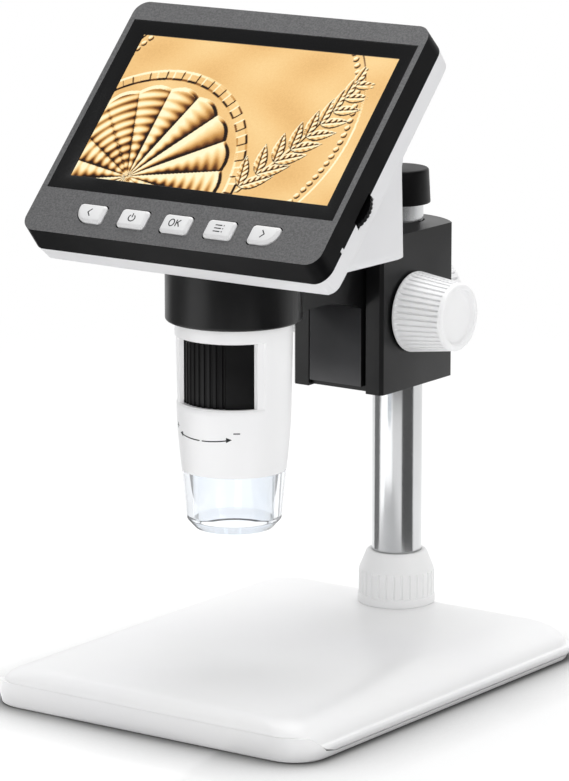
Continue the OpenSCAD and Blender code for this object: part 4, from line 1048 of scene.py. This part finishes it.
def shell_relief(u, v):
    """A scalloped shell: ribs as the cosine of the bearing, growth lines as one of the distance.

    Round it runs a band of teeth, and past the band thin paired rays.
    """
    distance = np.hypot(u - SHELL_U, v - SHELL_V)
    bearing = np.degrees(np.arctan2(v - SHELL_V, u - SHELL_U))
    wave = np.abs(np.cos(np.radians(bearing * SHELL_RIBS)))
    body = np.clip((SHELL_R + 1.3 * wave - distance) / 1.2, 0, 1)
    growth = 0.16 * np.cos(distance * 1.9 + 1.4 * np.sin(np.radians(bearing * 2)))
    height = body * (1.2 + 2.3 * wave ** 0.7 * np.clip(distance / 14, 0.15, 1) + 1.6 * growth)
    band = np.clip(1 - np.abs(distance - SHELL_R - 5.2) / 1.9, 0, 1)
    teeth = np.clip(2.5 * np.cos(np.radians(bearing * 40)) + 1.0, 0, 1)
    height = np.where(distance > SHELL_R + 2, 1.5 * np.clip(band * 2.5, 0, 1) * (0.4 + 0.6 * teeth), height)
    ray_bearing = (bearing + 7.0) % 14.0 - 7.0
    ray_width = 0.012 * np.clip(distance - SHELL_R, 0, None)
    ray_off = np.abs(np.radians(ray_bearing)) * distance
    ray = np.clip(1.4 - np.abs(ray_off - 0.8 - ray_width * 3) / 0.28, 0, 1) * (distance > SHELL_R + 8.5)
    return height - 0.5 * ray * (np.abs(bearing - 62) < 60)


def picture_relief(u, v):
    """Height of an invented medal: a shell with rays, a laurel branch and a beaded rim."""
    height = shell_relief(u, v)
    for k in range(LEAF_PAIRS):
        share = k / (LEAF_PAIRS - 1)
        root = (STEM_U + 20 * share + 5 * math.sin(2.6 * share), -24 + 40 * share)
        heading = 64 - 22 * share
        for spread in (-38, 38):
            mound = leaf(u, v, root, heading + spread, 11.5 - 3 * share, 4.4 - share)
            height = np.maximum(height, 1.9 * mound)
    share = np.clip((v - STEM_LOW) / 46, 0, 1)
    stem = STEM_U + 20 * share + 5 * np.sin(2.6 * share)
    beside = np.clip(1.5 - np.abs(u - stem) / 0.5, 0, 1)
    height = np.maximum(height, 0.9 * beside * (v > STEM_LOW) * (v < STEM_HIGH))
    rim = np.hypot(u - RIM_U, v - RIM_V)
    height = np.maximum(height, 1.3 * np.clip((rim - RIM_R) / 0.5, 0, 1))
    bearing = np.degrees(np.arctan2(v - RIM_V, u - RIM_U))
    past_bead = np.radians((bearing + BEAD_PITCH / 2) % BEAD_PITCH - BEAD_PITCH / 2) * BEAD_RING_R
    bead_off = np.hypot(rim - BEAD_RING_R, past_bead)
    return np.maximum(height, BEAD_R * np.sqrt(np.clip(1 - (bead_off / BEAD_R) ** 2, 0, 1)))


def picture_colours(u, v):
    """Golden metal lit from the upper left: tone = middle + slope towards the light, then a ramp.

    Steep edges that face away go dark brown, those that face the light go pale, and a fine
    sine-hash grain and slow patches vary the field.
    """
    step = 0.12
    height = picture_relief(u, v)
    slope_u = (picture_relief(u + step, v) - picture_relief(u - step, v)) / (2 * step)
    slope_v = (picture_relief(u, v + step) - picture_relief(u, v - step)) / (2 * step)
    tone = 0.64 + 0.75 * (0.65 * slope_u - 0.75 * slope_v)
    tone = tone - 0.45 * np.clip(np.hypot(slope_u, slope_v) - 0.8, 0, 2.5)
    hashed = np.sin(u * 127.1 + v * 311.7) * 43758.5453
    tone = tone + 0.05 * (hashed - np.floor(hashed) - 0.5)
    tone = tone + 0.035 * np.sin(u * 0.21 + 1.7 * np.sin(v * 0.13)) + 0.02 * np.cos(v * 0.33 + u * 0.1)
    tone = tone + 0.02 * (height > 0.6)
    shades = np.array([srgb(text) for text in GOLD_SHADES.values()])
    return np.stack([np.interp(tone, list(GOLD_SHADES), shades[:, k]) for k in range(4)], -1)


def picture_panel():
    """The lit picture as a fine grid on a thin slab, coloured point by point."""
    columns, rows = PANEL_COLUMNS, PANEL_ROWS
    half_w, half_h = ACTIVE_HALF_W - ACTIVE_GAP, ACTIVE_HALF_H - ACTIVE_GAP
    u, v = np.meshgrid(np.linspace(-half_w, half_w, columns), np.linspace(-half_h, half_h, rows))
    top = np.stack([u, v, np.full_like(u, PANEL_RISE)], -1).reshape(-1, 3)
    edge = np.concatenate([np.arange(columns), np.arange(1, rows) * columns + columns - 1,
                           (rows - 1) * columns + np.arange(columns - 2, -1, -1),
                           np.arange(rows - 2, 0, -1) * columns])
    low = top[edge] * [1, 1, 0] + [0, 0, PANEL_BACK]
    below = len(top) + np.arange(len(edge))
    walls = np.stack([edge, below, np.roll(below, -1), np.roll(edge, -1)], -1).tolist()
    faces = grid_faces(rows, columns, False).tolist() + walls + [below[::-1].tolist()]
    shape = on_screen(np.concatenate([top, low])), faces
    mesh = piece("lit_picture", shape, "head", PICTURE).data
    welded = np.empty(3 * len(mesh.vertices))
    mesh.vertices.foreach_get("co", welded)
    local = screen_frame(welded.reshape(-1, 3) / MM)
    colour = mesh.color_attributes.new("picture", "FLOAT_COLOR", "POINT")
    colour.data.foreach_set("color", picture_colours(local[:, 0], local[:, 1]).ravel())


# ---- Housing ----

CHIN_OUT, CHIN_START, CHIN_END = 1.2, -43.95, -48.7
FACE_N, SEAM_N, BACK_N = 1.45, -6.8, -15.5
WEDGE_HALF, WEDGE_BACK, WEDGE_LOW = 50.0, BARREL_Y + 13.3, box_mm("holder_arm")[1][2] + 0.2
WEDGE_ROUND, WEDGE_TOP = 4.0, 181.0
NEW_HALF, NEW_BACK, NEW_ROUND = 51.2, -10.6, 3.2
HOLLOW_DEPTHS = (0, 1.2, 2.6, 4.5, 8, 14, 26)
HOLLOW_DROPS = (0, 0.45, 1.0, 1.35, 1.35, 1.1, 0.7)
HOLLOW_START, HOLLOW_RUN = 46.0, 3.0
CORNER_R, CORNER_U, CORNER_VS, CORNER_CUTS = 4.75, 50.05, (-43.95, 33.75), (18, 36, 54, 72)
BACK_ROUND, DRAFT = 3.0, 0.5
COVER_HALF, COVER_TOP, COVER_WALL, COVER_PROUD = 16.5, 160.0, 0.7, 0.03
WHEEL_SHARE = 0.5                    # of the dimmer wheel's depth is left
NEAR = 0.05                          # a point this close to a plane lies on it


def chin(points):
    """Lets the housing's lower edge stand out at the seam.

    The drop is a ramp down the last stretch of v times a share of n, which is 0 on the face and
    1 from the seam to the back.
    """
    local = screen_frame(points)
    down = np.clip((CHIN_START - local[:, 1]) / (CHIN_START - CHIN_END), 0, 1)
    local[:, 1] -= CHIN_OUT * down * np.interp(local[:, 2], [SEAM_N, FACE_N], [1, 0])
    return on_screen(local)


def new_edge(value, end, new_end):
    """Maps the rounded zone before one end, by a straight ramp, on the zone before a new end."""
    share = (value - (end - WEDGE_ROUND)) / WEDGE_ROUND
    return np.where(share > -1e-3, new_end - NEW_ROUND + NEW_ROUND * share, value)


def fuller_wedge(points):
    """Makes the wedge behind the display wider and deeper, with tighter rounded edges.

    Each edge zone of the old wedge maps on its new one in x, y and z. Points that lie on the
    housing's back plane slide along that plane.
    """
    x, y, z = points.T
    depth = screen_frame(points)[:, 2]
    wedge = (depth < BACK_N + NEAR) & (z < WEDGE_TOP)
    corner = wedge & (abs(x) < WEDGE_HALF + 2 * NEAR) & (y < WEDGE_BACK + 2 * NEAR)
    before_side = abs(x) <= WEDGE_HALF - WEDGE_ROUND - NEAR
    before_back = y <= WEDGE_BACK - WEDGE_ROUND - NEAR
    outer = corner & ~(before_side & before_back)
    new_x = np.where(outer, np.sign(x) * new_edge(abs(x), WEDGE_HALF, NEW_HALF), x)
    new_y = np.where(outer, new_edge(y, WEDGE_BACK, NEW_BACK), y)
    new_z = np.where(outer, -new_edge(-z, -WEDGE_LOW, -WEDGE_LOW), z)
    slope = math.tan(SCREEN_TILT)
    on_plane = outer & (depth > BACK_N - NEAR)
    on_side = on_plane & (y < WEDGE_BACK - WEDGE_ROUND - NEAR)
    on_back = on_plane & ~on_side
    slid_y = np.where(on_side, y + (new_z - z) / slope, new_y)
    slid_z = np.where(on_back, z + (slid_y - y) * slope, new_z)
    return np.stack([new_x, slid_y, slid_z], -1)


def hollow_sides(points):
    """Draws the wedge's sides in behind the housing, by a drop that depends on the depth."""
    moved = points.copy()
    depth = BACK_N - screen_frame(points)[:, 2]
    share = np.clip((abs(points[:, 0]) - HOLLOW_START) / HOLLOW_RUN, 0, 1)
    drop = np.interp(depth, HOLLOW_DEPTHS, HOLLOW_DROPS) * share
    moved[:, 0] -= np.sign(points[:, 0]) * drop * (depth > NEAR)
    return moved


def round_corners(points):
    """Pulls the housing's corners on an arc behind the seam.

    The arc's radius is the corner's radius less the inset of the sides at that depth: a straight
    draft, then a quarter circle into the back.
    """
    local = screen_frame(points)
    depth = local[:, 2]
    turn = np.clip((BACK_N + BACK_ROUND - depth) / BACK_ROUND, 0, 1)
    draft = DRAFT * np.clip((SEAM_N - depth) / (SEAM_N - BACK_N - BACK_ROUND), 0, 1)
    radius = CORNER_R - (draft + BACK_ROUND * (1 - np.sqrt(1 - turn ** 2)))
    behind_seam = (depth < SEAM_N - 2 * NEAR) & (depth > BACK_N - NEAR)
    for v, way in zip(CORNER_VS, (-1, 1)):
        out_u, out_v = abs(local[:, 0]) - CORNER_U, (local[:, 1] - v) * way
        reach = np.hypot(out_u, out_v)
        hit = (out_u > 0) & (out_v > 0) & behind_seam & (reach > radius)
        scale = np.where(hit, radius / np.maximum(reach, 1e-6), 1.0)
        local[:, 0] = np.where(hit, np.sign(local[:, 0]) * (CORNER_U + out_u * scale), local[:, 0])
        local[:, 1] = np.where(hit, v + way * out_v * scale, local[:, 1])
    return on_screen(local)


def rear_cuts():
    """Planes along the wedge, parallel to the screen, and planes through the housing's corners."""
    planes = [(on_screen([0, 0, BACK_N - depth]), SCREEN_N) for depth in HOLLOW_DEPTHS[1:-1]]
    for side in (-1, 1):
        for v, way in zip(CORNER_VS, (-1, 1)):
            for angle in np.radians(CORNER_CUTS):
                normal = side * math.sin(angle) * SCREEN_U - way * math.cos(angle) * SCREEN_V
                planes.append((on_screen([side * CORNER_U, v, 0]), normal))
    return planes


def rear_form(points):
    """The white housing with its fuller, hollow-sided wedge, its round corners and its chin."""
    return chin(round_corners(hollow_sides(fuller_wedge(points))))


def wedge_cover():
    """Thin wall that closes the wedge's back over the barrel's socket.

    Its side view is the wedge's lower back edge, an arc, then a straight run up; the inner line
    is the same path a wall's thickness further in, and both run straight across in x.
    """
    angle = np.radians(np.linspace(-66, 0, 8))
    middle = np.array([NEW_BACK - NEW_ROUND, WEDGE_LOW + NEW_ROUND])
    lines = []
    for offset in (COVER_PROUD, COVER_PROUD - COVER_WALL):
        arc = middle + (NEW_ROUND + offset) * np.stack([np.cos(angle), np.sin(angle)], -1)
        lines.append(np.concatenate([arc, [[NEW_BACK + offset, COVER_TOP]]]))
    outline = np.concatenate([lines[0], lines[1][::-1]])
    return loft([np.insert(outline, 0, x, axis=1) for x in (-COVER_HALF, COVER_HALF)])


def thin_wheel(points):
    """Thins the dimmer wheel towards its back by a share of its depth."""
    local = screen_frame(points)
    low = local[:, 2].min()
    local[:, 2] = low + (local[:, 2] - low) * WHEEL_SHARE
    return on_screen(local)


def on_side_wall(centre, normal):
    """True for a face of the front frame that doesn't look the way the screen does."""
    return normal.dot(SCREEN_N) < 0.8


picture_panel()
refined("bezel", GREY_FRAME, 0.2, DULL_BLACK, on_side_wall, reshape=chin)
refined("lcd_mask", GLOSS_BLACK, 0.12)
refined("rear_shell", SATIN_WHITE, 0.3, cuts=rear_cuts(), reshape=rear_form)
piece("wedge_cover", wedge_cover(), "head", SATIN_WHITE, [], 30)
refined("dimmer_wheel", MATT_BLACK, 0.12, reshape=thin_wheel)
refined("usb_socket", ZINC, 0.1)
refined("card_socket", ZINC, 0.1)


# ---- Floor and light ----

WHITE = (1.0, 1.0, 1.0, 1.0)
FLOOR_SHADE = "#FAFAFA"
NEAR_WHITE, NEAR_REACH, FAR_REACH = 0.04, 120.0, 600.0
# Reach in millimetres and power of the contact shadow painted into the floor's colour.
PAINTED_SHADOW_REACH, PAINTED_SHADOW_POWER = 27.0, 3.2
FLOOR_FRONT, BEND_START, BEND_R, WALL_TOP, FLOOR_HALF = -2500.0, 1500.0, 1000.0, 3500.0, 4000.0
CARD_LIFT = 0.4                      # the cards on the floor lie this far above it
FLOOR_CARDS = (                      # name, (start, stop, near, far) of the sector, strength
    ("white_near", (-137, -78, 140, 400), 1.7),
    ("white_far", (-131, -97, 402, 1000), 2.6),
    ("black_right", (-34, 23, 80, 400), 0.12),
    ("black_left", (178, 217, 80, 400), 0.22),
    ("black_far_left", (178, 229, 402, 1500), 0.22),
    ("black_far_right", (-97, 23, 402, 1500), 0.08),
)
FLAG_STRENGTH, FLAG_RUN, FLAG_LEVELS = 0.38, (-60.0, 240.0), (42.0, 130.0)
LIGHT_TARGET = (0.0, 0.0, 110.0)


def seen_by(tree, *rays):
    """Socket that is 1 for the kinds of ray named and 0 for the others."""
    light_path = add(tree, "ShaderNodeLightPath")
    socket = light_path.outputs[f"Is {rays[0]} Ray"]
    for ray in rays[1:]:
        either = add(tree, "ShaderNodeMath", operation="MAXIMUM",
                     links={0: socket, 1: light_path.outputs[f"Is {ray} Ray"]})
        socket = either.outputs[0]
    return socket


def pale_floor():
    """Matt white paper of the sweep.

    Its colour darkens where things stand close, as the nearness to a power: a painted contact
    shadow. Near the object it is lit, so that it keeps the shadow; with the distance from the origin
    a smooth step fades it to plain white, for the rays that look at it directly, in a mirror or
    through glass.
    """
    material, tree, shader = blank("pale_floor", Roughness=0.7)
    # Painted contact shadow: nearness to other things darkens the paper's colour.
    nearness = add(tree, "ShaderNodeAmbientOcclusion", {"Distance": PAINTED_SHADOW_REACH * MM}, samples=24)
    painted_shadow = add(tree, "ShaderNodeMath", {1: PAINTED_SHADOW_POWER}, {0: nearness.outputs["AO"]},
                   operation="POWER")
    shadowed_paper = add(tree, "ShaderNodeMath", {1: srgb(FLOOR_SHADE)[0]}, {0: painted_shadow.outputs[0]},
                 operation="MULTIPLY")
    tree.links.new(shadowed_paper.outputs[0], shader.inputs["Base Color"])
    local = add(tree, "ShaderNodeTexCoord").outputs["Object"]
    distance = add(tree, "ShaderNodeVectorMath", links={0: local}, operation="LENGTH")
    white = add(tree, "ShaderNodeMapRange",
                {"From Min": NEAR_REACH * MM, "From Max": FAR_REACH * MM, "To Min": NEAR_WHITE,
                 "To Max": 1.0}, {"Value": distance.outputs["Value"]}, interpolation_type="SMOOTHSTEP")
    share = add(tree, "ShaderNodeMath", operation="MULTIPLY",
                links={0: seen_by(tree, "Camera", "Glossy", "Transmission"), 1: white.outputs[0]})
    glow = add(tree, "ShaderNodeEmission", {"Color": WHITE, "Strength": 1.0})
    mixed = add(tree, "ShaderNodeMixShader",
                links={0: share.outputs[0], 1: shader.outputs[0], 2: glow.outputs[0]})
    tree.links.new(mixed.outputs[0], tree.nodes["Material Output"].inputs["Surface"])
    return material


def stage_floor():
    """A wide floor that turns up behind the object, by a quarter circle, into a wall."""
    share = np.linspace(0, 1, 17)
    run = np.concatenate([[FLOOR_FRONT], BEND_START + BEND_R * share, [BEND_START + BEND_R]])
    rise = np.concatenate([[0.0], BEND_R * (1 - np.sqrt(1 - share ** 2)), [WALL_TOP]])
    side = np.array([-FLOOR_HALF, FLOOR_HALF])
    flat = run[:, None, None] * AWAY + side[None, :, None] * ACROSS
    points = flat + rise[:, None, None] * np.array([0.0, 0.0, 1.0])
    mesh = new_mesh("floor", points, grid_faces(len(run), 2, False))
    shade(mesh, 60)
    mesh.materials.append(pale_floor())
    new_object("floor", mesh)


def card(name, points, strength, seen):
    """A card that only reflections or only refractions see: it lights nothing and throws no shadow."""
    mesh = new_mesh(name, points, grid_faces(len(points), 2, False))
    made = new_object(name, mesh)
    made.visible_camera = made.visible_diffuse = made.visible_shadow = False
    made.visible_glossy, made.visible_transmission = seen == "glossy", seen == "transmission"
    material = bpy.data.materials.new(name)
    material.use_nodes = True
    tree = material.node_tree
    glow = add(tree, "ShaderNodeEmission", {"Color": WHITE, "Strength": strength})
    tree.links.new(glow.outputs[0], tree.nodes["Material Output"].inputs["Surface"])
    mesh.materials.append(material)


def floor_sector(start, stop, near, far):
    """Points of a flat sector on the floor round the column's axis, between two radii."""
    angle = np.radians(np.linspace(start, stop, 24))[:, None]
    reach = np.array([near, far])
    flat = np.stack([reach * np.cos(angle), COLUMN_Y + reach * np.sin(angle)], -1)
    return with_height(flat, np.full((24, 1), CARD_LIFT))


def side_flag(offset):
    """Points of an upright card beside the hood, parallel to the view and an offset to its right."""
    middle = np.array([0.0, BARREL_Y, 0.0]) + offset * ACROSS
    return [[middle + run * AWAY + [0, 0, level] for level in FLAG_LEVELS] for run in FLAG_RUN]


def soft_box(name, origin, size, power, mirrored=True):
    """One rectangular studio lamp that faces the object; reflections may leave it out."""
    lamp = bpy.data.lights.new(name, "AREA")
    lamp.shape = "RECTANGLE"
    lamp.size, lamp.size_y = size[0] * MM, size[1] * MM
    lamp.energy = power
    box = new_object(name, lamp)
    aim = np.array(LIGHT_TARGET) - np.array(origin, float)
    box.location = [value * MM for value in origin]
    box.rotation_euler = Vector(aim.tolist()).to_track_quat("-Z", "Y").to_euler()
    box.visible_glossy = mirrored


def even_world():
    """Even light all round: white to the camera and through glass, dim in reflections."""
    world = bpy.data.worlds.new("studio")
    bpy.context.scene.world = world
    world.use_nodes = True
    tree = world.node_tree
    even = tree.nodes["Background"]
    even.inputs["Color"].default_value = WHITE
    even.inputs["Strength"].default_value = 0.65
    dim = add(tree, "ShaderNodeBackground", {"Color": WHITE, "Strength": 0.16})
    white = add(tree, "ShaderNodeBackground", {"Color": WHITE, "Strength": 1.0})
    mirrored = add(tree, "ShaderNodeMixShader",
                   links={0: seen_by(tree, "Glossy"), 1: even.outputs[0], 2: dim.outputs[0]})
    seen = seen_by(tree, "Camera", "Transmission")
    mixed = add(tree, "ShaderNodeMixShader", links={0: seen, 1: mirrored.outputs[0], 2: white.outputs[0]})
    tree.links.new(mixed.outputs[0], tree.nodes["World Output"].inputs["Surface"])


def studio():
    """Soft boxes, white and black cards on the floor that the steel mirrors, grey flags at the hood."""
    soft_box("key", (480, -1050, 330), (420, 700), 1.9, False)
    soft_box("side", (1000, -150, 380), (420, 700), 1.3, False)
    soft_box("top", (-140, 180, 1100), (900, 900), 8.2)
    for name, sector, strength in FLOOR_CARDS:
        card(name, floor_sector(*sector), strength, "glossy")
    for name, offset in (("flag_left", -90), ("flag_right", 90)):
        card(name, side_flag(offset), FLAG_STRENGTH, "transmission")


stage_floor()
even_world()
studio()
scene_view = bpy.context.scene.view_settings
scene_view.view_transform = "Standard"
